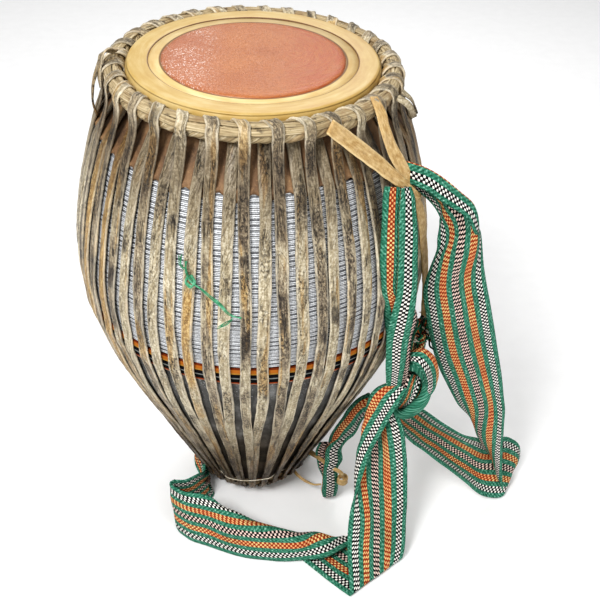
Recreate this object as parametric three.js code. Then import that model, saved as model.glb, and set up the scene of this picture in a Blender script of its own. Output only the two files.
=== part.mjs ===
// A laced two-headed barrel drum of the khol kind, standing on its small head.
// Millimetres, +Z up. The origin is the centre of the small head's outer face.
// The drum's axis is Z, and the sling hangs on the +X side.

import * as THREE from 'three';

// ---------------------------------------------------------------- driving sizes

const HEIGHT = 503;             // floor to the ring skin of the large head
const SECTORS = 32;             // facets of every large turned piece
const SMALL_SECTORS = 24;       // facets of the small head's pieces
const GAP = 0.4;                // clearance between touching pieces

const SHELL_WALL = 8;           // fired clay
const COVER_THICKNESS = 2.2;    // ribbed wrap and cloth over the clay
const LACE_THICKNESS = 1.8;
const LACE_WIDTH = 9.5;
const LOOP_COUNT = 32;          // bights of lacing over the large hoop

const PASTE_RADIUS = 80;        // tuning paste on the large head
const RING_SKIN_INNER = 90.5;
const HEAD_RADIUS = 109.5;
const RIM_RADIUS = 105;         // outside of the clay at the large mouth
const HOOP_RADIUS = 120.5;
const HOOP_TUBE = 7.5;
const HOOP_STANDOFF = 1.3;      // a taut strap's straight steps clear the round hoop by this
const HOOP_Z = 492.3;

const FOOT_PASTE_RADIUS = 21;   // tuning paste on the small head
const FOOT_RING_INNER = 28;
const FOOT_RIM_RADIUS = 34;     // outside of the clay at the small mouth
const FOOT_HOOP_RADIUS = 46;
const FOOT_HOOP_TUBE = 5.2;
const FOOT_HOOP_Z = 9.2;

const RIBBON_BAND_TOP = 288;
const RIBBON_BAND_BOTTOM = 267;

const TIE_THICKNESS = 1.6;
const TURN_WIDTH = 8.4;         // a lace where it turns over the large hoop

const SLING_THICKNESS = 2.4;
const BAND_STEPS = 3;           // straight steps of a sling run between two listed pairs
const KNOT_CENTRE = [148, -89, 188];
const KNOT_HALF_SIZE = [34, 24, 30];
const LOWER_RUN_WIDTH = 22;     // the lower run is gathered, so it's narrow and thick
const LOWER_RUN_THICKNESS = 7;

// The radius of the laced surface against height: the drum's outline.
const OUTLINE = [
  [0, 50], [30, 65.5], [130, 110], [230, 152.5], [275, 165],
  [320, 168], [377, 161], [425, 149], [450, 140.8], [475, 134], [503, 131],
];

// ---------------------------------------------------------------- shape helpers

// Every layer follows the same straight steps, so layers keep their clearance between them.
function lacedRadius(z) {
  const next = OUTLINE.findIndex(([height], i) => i > 0 && z <= height);
  const [lowZ, lowRadius] = OUTLINE[next - 1];
  const [highZ, highRadius] = OUTLINE[next];
  return lowRadius + ((z - lowZ) / (highZ - lowZ)) * (highRadius - lowRadius);
}

// The outline's own heights strictly between two others, from low to high.
function stepsBetween(low, high) {
  return OUTLINE.map(([z]) => z).filter((z) => z > low && z < high);
}

function coverRadius(z) {
  return lacedRadius(z) - LACE_THICKNESS - 2 * GAP;
}

function polar(radius, angle, z) {
  return new THREE.Vector3(radius * Math.cos(angle), radius * Math.sin(angle), z);
}

// Reverses every face of a closed geometry whose faces point inwards.
function facingOut(geometry) {
  const position = geometry.attributes.position;
  const index = geometry.index;
  const corner = (i) => new THREE.Vector3().fromBufferAttribute(position, index.getX(i));
  let volume = 0;
  for (let i = 0; i < index.count; i += 3) {
    volume += corner(i).dot(corner(i + 1).cross(corner(i + 2)));
  }
  if (volume < 0) {
    for (let i = 0; i < index.count; i += 3) {
      const first = index.getX(i);
      index.setX(i, index.getX(i + 1));
      index.setX(i + 1, first);
    }
  }
  return geometry;
}

// Turns an outline of [radius, z] points about Z. It starts and ends on the axis, or is a
// ring's section, which is closed here.
function turned(outline, sectors) {
  const points = outline.map(([radius, z]) => new THREE.Vector2(radius, z));
  const startsOnAxis = points[0].x === 0;
  if (!startsOnAxis) {
    points.push(points[0].clone());
  }
  const geometry = new THREE.LatheGeometry(points, sectors);
  geometry.rotateX(Math.PI / 2);
  return facingOut(geometry);
}

// Joins rings of equal point count into one closed skin, with flat fans at both ends.
function loft(rings) {
  const count = rings[0].length;
  const positions = [];
  const faces = [];
  rings.forEach((ring) => ring.forEach((point) => positions.push(point.x, point.y, point.z)));
  const top = (rings.length - 1) * count;
  for (let a = 0; a < top; a += count) {
    const b = a + count;
    for (let j = 0; j < count; j += 1) {
      const k = (j + 1) % count;
      faces.push(a + j, a + k, b + k);
      faces.push(a + j, b + k, b + j);
    }
  }
  for (let j = 1; j < count - 1; j += 1) {
    faces.push(0, j + 1, j);
    faces.push(top, top + j, top + j + 1);
  }
  const geometry = new THREE.BufferGeometry();
  geometry.setAttribute('position', new THREE.Float32BufferAttribute(positions, 3));
  geometry.setIndex(faces);
  return facingOut(geometry);
}

// A flat strip through stations of { at, across, out }, each a vector.
// across is the direction of its width and out the way its outer face looks.
function strip(stations, thickness) {
  const rings = stations.map(({ at, across, out, width }) => {
    const side = across.clone().normalize().multiplyScalar(width / 2);
    const lift = out.clone().normalize().multiplyScalar(thickness / 2);
    return [
      at.clone().add(side).add(lift),
      at.clone().sub(side).add(lift),
      at.clone().sub(side).sub(lift),
      at.clone().add(side).sub(lift),
    ];
  });
  return loft(rings);
}

// A woven band whose selvedges are smooth curves through [one edge, other edge] pairs.
function band(pairs) {
  const [one, other] = [0, 1].map((side) => {
    const places = pairs.map((pair) => new THREE.Vector3(...pair[side]));
    return new THREE.CatmullRomCurve3(places).getPoints(BAND_STEPS * (pairs.length - 1));
  });
  const middles = one.map((point, i) => point.clone().add(other[i]).multiplyScalar(0.5));
  const stations = middles.map((at, i) => {
    const before = middles[Math.max(i - 1, 0)];
    const after = middles[Math.min(i + 1, middles.length - 1)];
    const along = after.clone().sub(before);
    const across = other[i].clone().sub(one[i]);
    return { at, across, out: across.clone().cross(along), width: across.length() };
  });
  return strip(stations, SLING_THICKNESS);
}

// A round thong or twine through hand-set points.
function thong(points, radius, steps, sides) {
  const curve = new THREE.CatmullRomCurve3(points.map((point) => new THREE.Vector3(...point)));
  const corners = Array.from({ length: sides }, (_, i) => {
    const angle = (2 * Math.PI * i) / sides;
    return new THREE.Vector2(radius * Math.cos(angle), radius * Math.sin(angle));
  });
  const section = new THREE.Shape(corners);
  return new THREE.ExtrudeGeometry(section, { steps, extrudePath: curve, bevelEnabled: false });
}

function hoop(radius, tube, z, sectors) {
  const geometry = new THREE.TorusGeometry(radius, tube, 8, sectors);
  geometry.translate(0, 0, z);
  return geometry;
}

// ---------------------------------------------------------------- materials

function finish(color, roughness, metalness = 0) {
  return new THREE.MeshStandardMaterial({ color, roughness, metalness });
}

const clay = finish(0x9a5a3c, 0.9);
const headSkin = finish(0xdcb878, 0.5);
const ringSkin = finish(0xcf9d57, 0.45);
const paste = finish(0xcf7f60, 0.75);
const rawhide = finish(0xa5906e, 0.8);
const paleRawhide = finish(0xc9a566, 0.7);
const silverWrap = finish(0xc9ccd0, 0.5);
const stripedBand = finish(0x7d3a24, 0.7);
const greyCloth = finish(0x77736b, 0.9);
const twinePlastic = finish(0x4fa06a, 0.5);
const wovenCotton = finish(0x3f9169, 0.85);

const drum = new THREE.Group();

function add(name, geometry, material) {
  const mesh = new THREE.Mesh(geometry, material);
  mesh.name = name;
  drum.add(mesh);
}

// ---------------------------------------------------------------- clay shell

const COVER_TOP = 449;
const COVER_BOTTOM = 30;

function clayShell() {
  const clayRadius = (z) => coverRadius(z) - COVER_THICKNESS - GAP;
  const heights = [22, ...stepsBetween(22, COVER_TOP), 446];
  const outside = heights.map((z) => [clayRadius(z), z]).reverse();
  const inside = stepsBetween(22, COVER_TOP).map((z) => [clayRadius(z) - SHELL_WALL, z]);
  return turned([
    [RIM_RADIUS - 10, HEIGHT - 8.4],
    [RIM_RADIUS, HEIGHT - 8.4],
    [RIM_RADIUS, HEIGHT - 19],
    [122, 463.5],
    ...outside,
    [FOOT_RIM_RADIUS, 12],
    [FOOT_RIM_RADIUS, 4.2],
    [FOOT_RIM_RADIUS - 7, 4.2],
    [FOOT_RIM_RADIUS - 7, 14],
    ...inside,
    [RIM_RADIUS - 12, HEIGHT - 30],
  ], SECTORS);
}

add('clay_shell', clayShell(), clay);

// ---------------------------------------------------------------- large head

// One turned-down layer: flat from `inner` to `outer`, then down the outside to `hem`.
function headLayer(inner, outer, top, thickness, hem, sectors) {
  return turned([
    [inner, top - thickness],
    [outer - thickness, top - thickness],
    [outer - thickness, hem],
    [outer, hem],
    [outer, top - 1],
    [outer - 1, top],
    [inner, top],
  ], sectors);
}

function largeSkin() {
  const top = HEIGHT - 2.1;
  const outer = HEAD_RADIUS - 1.9;
  const hemRadius = 138.2;
  const hemZ = 450.5;
  return turned([
    [0, top - 1.2],
    [outer - 1.2, top - 1.2],
    [outer - 1.2, HOOP_Z - 7],
    [hemRadius - 1.2, hemZ - 0.6],
    [hemRadius, hemZ],
    [outer, HOOP_Z - 6.4],
    [outer, top - 1],
    [outer - 1, top],
    [0, top],
  ], SECTORS);
}

function pasteDisc(radius, low, high, sectors) {
  return turned([[0, low], [radius, low], [radius - 2, high], [0, high]], sectors);
}

add('large_head_lining_ring',
  headLayer(90, HEAD_RADIUS - 3.5, HEIGHT - 3.7, 0.9, HOOP_Z - 5, SECTORS), headSkin);
add('large_head_skin', largeSkin(), headSkin);
add('large_head_ring_skin',
  headLayer(RING_SKIN_INNER, HEAD_RADIUS, HEIGHT, 1.5, HOOP_Z - 5, SECTORS), ringSkin);
add('large_head_paste',
  pasteDisc(PASTE_RADIUS, HEIGHT - 1.7, HEIGHT + 0.4, SECTORS), paste);
add('large_head_hoop', hoop(HOOP_RADIUS, HOOP_TUBE, HOOP_Z, SECTORS), rawhide);

// ---------------------------------------------------------------- small head

// The small head faces down, so each of its pieces is a large-head shape turned over.
function turnedOver(geometry) {
  return geometry.rotateX(Math.PI);
}

add('small_head_lining_ring',
  turnedOver(headLayer(27, 36, -3.1, 0.8, -9, SMALL_SECTORS)), headSkin);
add('small_head_skin',
  turnedOver(headLayer(0, 37.5, -1.7, 1.0, -10, SMALL_SECTORS)), headSkin);
add('small_head_ring_skin',
  turnedOver(headLayer(FOOT_RING_INNER, 39.3, 0, 1.3, -10, SMALL_SECTORS)), ringSkin);
add('small_head_paste',
  turnedOver(pasteDisc(FOOT_PASTE_RADIUS, -1.3, 0, SMALL_SECTORS)), paste);
add('small_head_hoop', hoop(FOOT_HOOP_RADIUS, FOOT_HOOP_TUBE, FOOT_HOOP_Z, SMALL_SECTORS), rawhide);

// ---------------------------------------------------------------- wraps over the clay

function wrap(low, high) {
  const heights = [low, ...stepsBetween(low, high), high];
  const outside = heights.map((z) => [coverRadius(z), z]);
  const inside = [...heights].reverse().map((z) => [coverRadius(z) - COVER_THICKNESS, z]);
  return turned([...outside, ...inside], SECTORS);
}

add('ribbed_cover', wrap(RIBBON_BAND_TOP + GAP, COVER_TOP), silverWrap);
add('ribbon_band', wrap(RIBBON_BAND_BOTTOM, RIBBON_BAND_TOP), stripedBand);
add('lower_cover', wrap(COVER_BOTTOM, RIBBON_BAND_BOTTOM - GAP), greyCloth);

// ---------------------------------------------------------------- lacing

const LOOP_ANGLE = (2 * Math.PI) / LOOP_COUNT;
const LACE_HEIGHTS = [COVER_BOTTOM, ...stepsBetween(COVER_BOTTOM, 440)];
const FOOT_LACE = { radius: FOOT_HOOP_RADIUS + FOOT_HOOP_TUBE + 1.8, z: 8, tilt: -0.5, width: 3.6 };

// The width left for one strand at a height, where two strands share each loop's angle.
function strandWidth(z) {
  const share = (2 * Math.PI * (lacedRadius(z) - LACE_THICKNESS)) / (2 * LOOP_COUNT);
  return Math.min(LACE_WIDTH, share - 1.2);
}

// tilt is the angle above level at which the strap's outer face looks.
function strandStation(radius, angle, z, tilt, width) {
  const out = polar(Math.cos(tilt), angle, Math.sin(tilt));
  return { at: polar(radius, angle, z), across: polar(1, angle + Math.PI / 2, 0), out, width };
}

function surfaceTilt(z) {
  const step = 6;
  return Math.atan2(lacedRadius(z - step) - lacedRadius(z + step), 2 * step);
}

function bodyStations(angle, turn) {
  return LACE_HEIGHTS.map((z) => {
    const radius = lacedRadius(z) - LACE_THICKNESS / 2;
    return strandStation(radius, angle, z, surfaceTilt(z) + turn, strandWidth(z));
  });
}

function footStation(angle, turn) {
  return strandStation(FOOT_LACE.radius, angle, FOOT_LACE.z, FOOT_LACE.tilt + turn, FOOT_LACE.width);
}

// Over the large hoop, from its outside round to the skin inside it.
function hoopStations(centre, spread, width) {
  const reach = HOOP_TUBE + HOOP_STANDOFF + LACE_THICKNESS / 2;
  const tilts = [-0.4, 0.5, 1.3, 2.1, 2.9, 3.7];
  return tilts.map((tilt, i) => {
    const angle = centre + spread * (1 - (2 * i) / (tilts.length - 1));
    const radius = HOOP_RADIUS + reach * Math.cos(tilt);
    return strandStation(radius, angle, HOOP_Z + reach * Math.sin(tilt), tilt, width);
  });
}

// One bight of lacing: up the outside of the drum, over the large hoop from outside to
// inside, out below it, and back down beside itself. Both ends tuck in at the small hoop.
function lacingLoop(index) {
  const centre = (index + 0.5) * LOOP_ANGLE;
  const spread = LOOP_ANGLE / 4;
  return strip([
    footStation(centre + spread, 0),
    ...bodyStations(centre + spread, 0),
    ...hoopStations(centre, spread, TURN_WIDTH),
    strandStation(125, centre - spread, 474.5, 3.9, TURN_WIDTH),
    strandStation(137, centre - spread, 460, 3.8, TURN_WIDTH),
    ...bodyStations(centre - spread, Math.PI).reverse(),
    footStation(centre - spread, Math.PI),
  ], LACE_THICKNESS);
}

for (let i = 0; i < LOOP_COUNT; i += 1) {
  const number = String(i + 1).padStart(2, '0');
  add(`lacing_loop_${number}`, lacingLoop(i), rawhide);
}

// ---------------------------------------------------------------- rawhide ties

// A flat rawhide strap through hand-set [x, y, z] points, its face looking away from Z.
function strap(points, width) {
  const places = points.map((point) => new THREE.Vector3(...point));
  const stations = places.map((at, i) => {
    const before = places[Math.max(i - 1, 0)];
    const after = places[Math.min(i + 1, places.length - 1)];
    const along = after.clone().sub(before).normalize();
    const away = new THREE.Vector3(at.x, at.y, 0).normalize();
    const across = away.clone().cross(along);
    return { at, across, out: along.clone().cross(across), width };
  });
  return strip(stations, TIE_THICKNESS);
}

// The upper tie holds the sling's fold against the drum, below the large hoop.
const UPPER_TIE_CUT_END = [[54, -126, 499], [95, -120, 474], [128, -104, 446], [152, -84, 420]];
const UPPER_TIE_HANGER = [[118, -70, 499], [126, -74, 470], [137, -76, 446]];
const UPPER_TIE_TAIL = [[162, -50, 400], [170, -50, 350], [174, -52, 290], [174, -52, 246]];

add('upper_tie_cut_end', strap(UPPER_TIE_CUT_END, 13), paleRawhide);
add('upper_tie_hanger', strap(UPPER_TIE_HANGER, 11), paleRawhide);
add('upper_tie_tail', strap(UPPER_TIE_TAIL, 8), paleRawhide);

// The lower tie joins the sling's lower loop to the small hoop.
const LOWER_TIE = [
  [58, -22, 15], [70, -36, 30], [82, -60, 38], [96, -64, 34], [108, -62, 27], [114, -58, 18],
];

add('lower_tie', thong(LOWER_TIE, 2, 14, 8), paleRawhide);

// ---------------------------------------------------------------- woven sling

// Each run is listed as [one selvedge, other selvedge] pairs along its length.
const INNER_RUN = [
  [[130, -116, 222], [162, -64, 222]],
  [[130, -116, 320], [162, -64, 320]],
  [[124, -113, 377], [156, -61, 377]],
  [[118, -106, 412], [150, -54, 412]],
];
const OUTER_RUN = [
  [[148, -60, 436], [142, -84, 420]],
  [[176, -62, 418], [160, -86, 380]],
  [[202, -72, 366], [162, -82, 338]],
  [[221, -80, 300], [161, -80, 296]],
  [[246, -72, 226], [184, -68, 222]],
  [[262, -66, 165], [216, -58, 156]],
  [[273, -64, 98], [250, -60, 92]],
  [[281, -68, 50], [270, -68, 48]],
  [[289, -74, 16], [281, -77, 16]],
];
const RETURN_RUN = [
  [[291, -52, 2.5], [314, -30, 32]],
  [[284, -66, 2], [294, -34, 50]],
  [[262, -72, 14], [268, -38, 62]],
  [[212, -80, 66], [229, -56, 98]],
  [[160, -90, 127], [178, -72, 148]],
];
const FRONT_RUN = [
  [[118, -98, 150], [156, -92, 150]],
  [[112, -112, 84], [166, -106, 88]],
  [[101, -156, 30], [164, -138, 26]],
  [[104, -196, 3.2], [160, -152, 3.2]],
];
const FLOOR_RUN = [
  [[118, -142, 1.8], [94, -178, 1.8]],
  [[78, -132, 8], [70, -160, 2]],
  [[46, -126, 34], [44, -150, 2]],
  [[4, -122, 52], [4, -147, 2]],
  [[-40, -114, 57], [-35, -136, 2]],
  [[-75, -104, 58], [-71, -120, 2]],
  [[-86, -92, 56], [-80, -104, 2]],
  [[-80, -80, 54], [-68, -86, 2]],
];
const LOWER_RUN = [[124, -74, 150], [108, -56, 100], [98, -50, 55], [92, -52, 4]];

add('sling_inner_run', band(INNER_RUN), wovenCotton);
add('sling_outer_run', band(OUTER_RUN), wovenCotton);
add('sling_return_run', band(RETURN_RUN), wovenCotton);
add('sling_front_run', band(FRONT_RUN), wovenCotton);
add('sling_floor_run', band(FLOOR_RUN), wovenCotton);

const FOOT_RUN_LEAD = [[-68, -72, 50], [-58, -74, 2]];

// The run behind the foot stands on its edge, leaning out along the drum's flank.
function footRun() {
  const first = THREE.MathUtils.degToRad(222);
  const last = THREE.MathUtils.degToRad(-8);
  const steps = 10;
  const pairs = [FOOT_RUN_LEAD];
  for (let i = 0; i <= steps; i += 1) {
    const angle = first + ((last - first) * i) / steps;
    const top = polar(88, angle, 48);
    const bottom = polar(62, angle, 2);
    pairs.push([top.toArray(), bottom.toArray()]);
  }
  return band(pairs);
}

add('sling_foot_run', footRun(), wovenCotton);

function lowerRun() {
  const stations = LOWER_RUN.map((point) => ({
    at: new THREE.Vector3(...point),
    across: new THREE.Vector3(1, 0.2, 0),
    out: new THREE.Vector3(0.2, -1, 0),
    width: LOWER_RUN_WIDTH,
  }));
  return strip(stations, LOWER_RUN_THICKNESS);
}

add('sling_lower_run', lowerRun(), wovenCotton);

function slingKnot() {
  const geometry = new THREE.SphereGeometry(1, 12, 8);
  geometry.scale(...KNOT_HALF_SIZE);
  geometry.translate(...KNOT_CENTRE);
  return geometry;
}

add('sling_knot', slingKnot(), wovenCotton);

// ---------------------------------------------------------------- plastic twine

const GREEN_TWINE = [
  [-56, -151, 398], [-53, -157, 382], [-40, -162, 372], [-26, -167, 361], [-16, -169, 352],
];

add('green_twine', thong(GREEN_TWINE, 1.6, 12, 8), twinePlastic);

export default drum;
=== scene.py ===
"""The looks of a laced barrel drum with a woven sling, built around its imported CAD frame.

Everything is in metres. The drum stands on its small head at the origin, +Z up.
"""

import math

import bpy
import numpy as np
from mathutils import Matrix, Vector


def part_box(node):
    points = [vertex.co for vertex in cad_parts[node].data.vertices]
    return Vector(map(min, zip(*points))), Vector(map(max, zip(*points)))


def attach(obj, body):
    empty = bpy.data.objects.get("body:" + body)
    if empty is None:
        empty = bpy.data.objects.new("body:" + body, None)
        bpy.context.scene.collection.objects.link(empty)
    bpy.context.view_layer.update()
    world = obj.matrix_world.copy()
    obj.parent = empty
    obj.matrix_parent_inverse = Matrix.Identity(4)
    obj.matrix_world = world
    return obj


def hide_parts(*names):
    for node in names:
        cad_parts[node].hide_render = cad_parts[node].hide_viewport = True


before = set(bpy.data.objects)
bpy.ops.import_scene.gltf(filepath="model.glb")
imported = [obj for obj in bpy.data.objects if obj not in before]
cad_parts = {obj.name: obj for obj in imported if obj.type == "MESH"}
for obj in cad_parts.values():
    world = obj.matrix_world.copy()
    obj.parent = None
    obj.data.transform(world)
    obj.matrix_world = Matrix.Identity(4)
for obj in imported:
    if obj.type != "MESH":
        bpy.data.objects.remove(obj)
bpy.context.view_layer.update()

MM = 0.001
LOOP_COUNT = 32
LACE_WIDTH = 9.6 * MM
LACE_THICKNESS = 2.3 * MM
SLING_THICKNESS = 2.2 * MM
RING_INNER = 90.6 * MM
PASTE_EDGE = 80.6 * MM
LOOP_SPREAD = 2 * math.pi / LOOP_COUNT


# ---------------------------------------------------------------- camera, light and floor

def make_camera():
    """Looks down at the drum from in front of it, with a slight roll."""
    place = (0, -0.7546, 0.82505)
    yaw, pitch, roll = 0.06458, 0.66115, 0.04324
    flat = math.cos(pitch)
    forward = Vector((math.sin(yaw) * flat, math.cos(yaw) * flat, -math.sin(pitch)))
    level = forward.cross(Vector((0, 0, 1))).normalized()
    upright = level.cross(forward)
    right = math.cos(roll) * level + math.sin(roll) * upright
    up = math.cos(roll) * upright - math.sin(roll) * level
    data = bpy.data.cameras.new("camera")
    data.sensor_width = 36
    data.lens = 55.1
    camera = bpy.data.objects.new("camera", data)
    turn = Matrix((right, up, -forward)).transposed().to_4x4()
    camera.matrix_world = Matrix.Translation(place) @ turn
    bpy.context.scene.collection.objects.link(camera)
    bpy.context.scene.camera = camera


def add_area_light(name, place, target, size, power):
    """A round soft light that shines at target."""
    data = bpy.data.lights.new(name, "AREA")
    data.shape = "DISK"
    data.size = size
    data.energy = power
    light = bpy.data.objects.new(name, data)
    light.location = place
    aim = Vector(target) - Vector(place)
    light.rotation_euler = aim.to_track_quat("-Z", "Y").to_euler()
    bpy.context.scene.collection.objects.link(light)


def make_studio():
    world = bpy.data.worlds.new("studio")
    world.use_nodes = True
    background = world.node_tree.nodes["Background"]
    background.inputs["Color"].default_value = (1.0, 1.0, 1.0, 1)
    background.inputs["Strength"].default_value = 0.47
    bpy.context.scene.world = world
    bpy.context.scene.view_settings.view_transform = "Standard"
    bpy.context.scene.view_settings.look = "Medium High Contrast"
    middle = (0.03, 0, 0.25)
    add_area_light("key", (-0.6, -0.95, 1.55), middle, 0.55, 21)
    add_area_light("fill", (1.2, -1.4, 0.9), middle, 1.2, 7)
    add_area_light("back", (0.2, 1.2, 1.5), middle, 0.9, 9)


def make_floor():
    s = Shader("floor_paper")
    paper = s.finish(s.ramp(s.noise(s.place(), 40, 3), [(0.3, "fafafa"), (0.7, "fdfdfd")]), 0.9)
    half = 4.0
    corners = [(-half, -half, 0), (half, -half, 0), (half, half, 0), (-half, half, 0)]
    floor = add_mesh("floor", corners, [(0, 1, 2, 3)], paper, rounded_shading=False)


# ---------------------------------------------------------------- curves and randomness

def smooth(xs, ys, at):
    """A smooth curve through ys, one number or point for each of xs, read at each of `at`."""
    xs, ys, at = np.asarray(xs, float), np.asarray(ys, float), np.asarray(at, float)
    flat = ys.ndim == 1
    if flat:
        ys = ys[:, None]
    if len(xs) > 2:
        slopes = np.gradient(ys, xs, axis=0)
    else:
        slopes = np.repeat((ys[1:] - ys[:-1]) / (xs[1] - xs[0]), 2, 0)
    i = np.clip(np.searchsorted(xs, at, "right") - 1, 0, len(xs) - 2)
    width = (xs[i + 1] - xs[i])[:, None]
    t = np.clip((at - xs[i])[:, None] / width, 0, 1)
    a, b = ys[i], ys[i + 1]
    value = ((2 * t**3 - 3 * t**2 + 1) * a + (t**3 - 2 * t**2 + t) * width * slopes[i]
             + (3 * t**2 - 2 * t**3) * b + (t**3 - t**2) * width * slopes[i + 1])
    return value[:, 0] if flat else value


def lengths(points):
    """The distance along a route at each of its points."""
    steps = np.linalg.norm(np.diff(points, axis=0), axis=1)
    return np.concatenate([[0.0], np.cumsum(steps)])


def route(points, step):
    """A smooth route through points, as evenly spaced places."""
    points = np.asarray(points, float)
    dense = smooth(lengths(points), points, np.linspace(0, lengths(points)[-1], 40 * len(points)))
    along = lengths(dense)
    count = max(int(along[-1] / step), 3)
    even = np.linspace(0, along[-1], count + 1)
    return np.stack([np.interp(even, along, dense[:, k]) for k in range(3)], 1)


def ripple(rng, along, spacing):
    """Smooth random values from -1 to 1 along a route, with one knot each `spacing`."""
    count = int((along[-1] - along[0]) / spacing) + 3
    return smooth(along[0] + spacing * np.arange(count), rng.uniform(-1, 1, count), along)


def unit(vectors):
    return vectors / np.maximum(np.linalg.norm(vectors, axis=-1, keepdims=True), 1e-12)


# ---------------------------------------------------------------- meshes

def grid_faces(rows, columns, closed_rows=False, closed_columns=False, offset=0):
    """Four-sided faces between neighbouring rows and columns. A closed way joins up at its ends."""
    faces = []
    for i in range(rows if closed_rows else rows - 1):
        for j in range(columns if closed_columns else columns - 1):
            a = offset + i * columns + j
            b = offset + i * columns + (j + 1) % columns
            c = offset + (i + 1) % rows * columns + (j + 1) % columns
            d = offset + (i + 1) % rows * columns + j
            faces.append((a, b, c, d))
    return faces


def add_mesh(name, points, faces, material, attributes=None, rounded_shading=True):
    mesh = bpy.data.meshes.new(name)
    mesh.from_pydata([tuple(map(float, p)) for p in points], [], [tuple(map(int, f)) for f in faces])
    mesh.polygons.foreach_set("use_smooth", [rounded_shading] * len(mesh.polygons))
    for key, values in (attributes or {}).items():
        layer = mesh.attributes.new(key, "FLOAT", "POINT")
        layer.data.foreach_set("value", np.asarray(values, np.float32).ravel())
    mesh.materials.append(material)
    mesh.update()
    piece = bpy.data.objects.new(name, mesh)
    bpy.context.scene.collection.objects.link(piece)
    return piece


class Pile:
    """Collects several grids into one mesh, with their attributes."""

    def __init__(self):
        self.points = []
        self.faces = []
        self.attributes = {}
        self.count = 0

    def grid(self, places, closed_rows=False, closed_columns=False, ends=False, **attributes):
        """places is rows x columns x 3. ends closes the first and last row with a face."""
        rows, columns = places.shape[:2]
        self.faces += grid_faces(rows, columns, closed_rows, closed_columns, self.count)
        if ends:
            self.faces.append(tuple(self.count + j for j in reversed(range(columns))))
            last = self.count + (rows - 1) * columns
            self.faces.append(tuple(last + j for j in range(columns)))
        self.points.append(places.reshape(-1, 3))
        for key, values in attributes.items():
            spread = np.broadcast_to(values, (rows, columns)).reshape(-1)
            self.attributes.setdefault(key, []).append(spread)
        self.count += rows * columns

    def make(self, name, material):
        attributes = {key: np.concatenate(values) for key, values in self.attributes.items()}
        return add_mesh(name, np.concatenate(self.points), self.faces, material, attributes)


def place_piece(piece, slot, *nodes):
    """Rides on the drum's one body and hides the CAD nodes that it stands for. slot is not used."""
    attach(piece, "root")
    if nodes:
        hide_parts(*nodes)
    return piece


# A strap's section: (place across, height) in half widths and half thicknesses.
STRAP_SECTION = np.array([
    (-1, -0.35), (-1, 0.45), (-0.82, 1), (-0.42, 0.86), (0, 0.8), (0.42, 0.86), (0.82, 1),
    (1, 0.45), (1, -0.35), (0.8, -1), (0, -1), (-0.8, -1),
])


def strap_rows(centre, out, width, thickness, rng, rough=0.35):
    """Rings round a flat strap that follows `centre`, its face looking along `out`."""
    along = lengths(centre)
    tangent = unit(np.gradient(centre, axis=0))
    side = unit(np.cross(tangent, out))
    face = unit(np.cross(side, tangent))
    half = np.broadcast_to(width, along.shape) / 2
    thick = np.broadcast_to(thickness, along.shape) / 2
    across = np.zeros((len(along), len(STRAP_SECTION)))
    rows = np.zeros((*across.shape, 3))
    for j, (s, h) in enumerate(STRAP_SECTION):
        uneven = rough * MM * ripple(rng, along, 9 * MM)
        lift = 0.5 * rough * MM * ripple(rng, along, 5 * MM)
        sideways = side * (s * half + uneven * abs(s))[:, None]
        rows[:, j] = centre + sideways + face * (h * thick + lift)[:, None]
        across[:, j] = s * half
    return rows, across, along


# ---------------------------------------------------------------- materials

def colour(code):
    """Linear colour from a six-figure hex code."""
    values = [int(code[k:k + 2], 16) / 255 for k in (0, 2, 4)]
    linear = [v / 12.92 if v <= 0.04045 else ((v + 0.055) / 1.055) ** 2.4 for v in values]
    return (*linear, 1)


class Output:
    """What a node gives out. Plain arithmetic on it adds Math nodes."""

    def __init__(self, shader, socket):
        self.shader = shader
        self.socket = socket

    def __add__(self, other):
        return self.shader.math("ADD", self, other)

    def __sub__(self, other):
        return self.shader.math("SUBTRACT", self, other)

    def __mul__(self, other):
        return self.shader.math("MULTIPLY", self, other)

    def __truediv__(self, other):
        return self.shader.math("DIVIDE", self, other)

    def __gt__(self, other):
        return self.shader.math("GREATER_THAN", self, other)

    def __abs__(self):
        return self.shader.math("ABSOLUTE", self)


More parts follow.
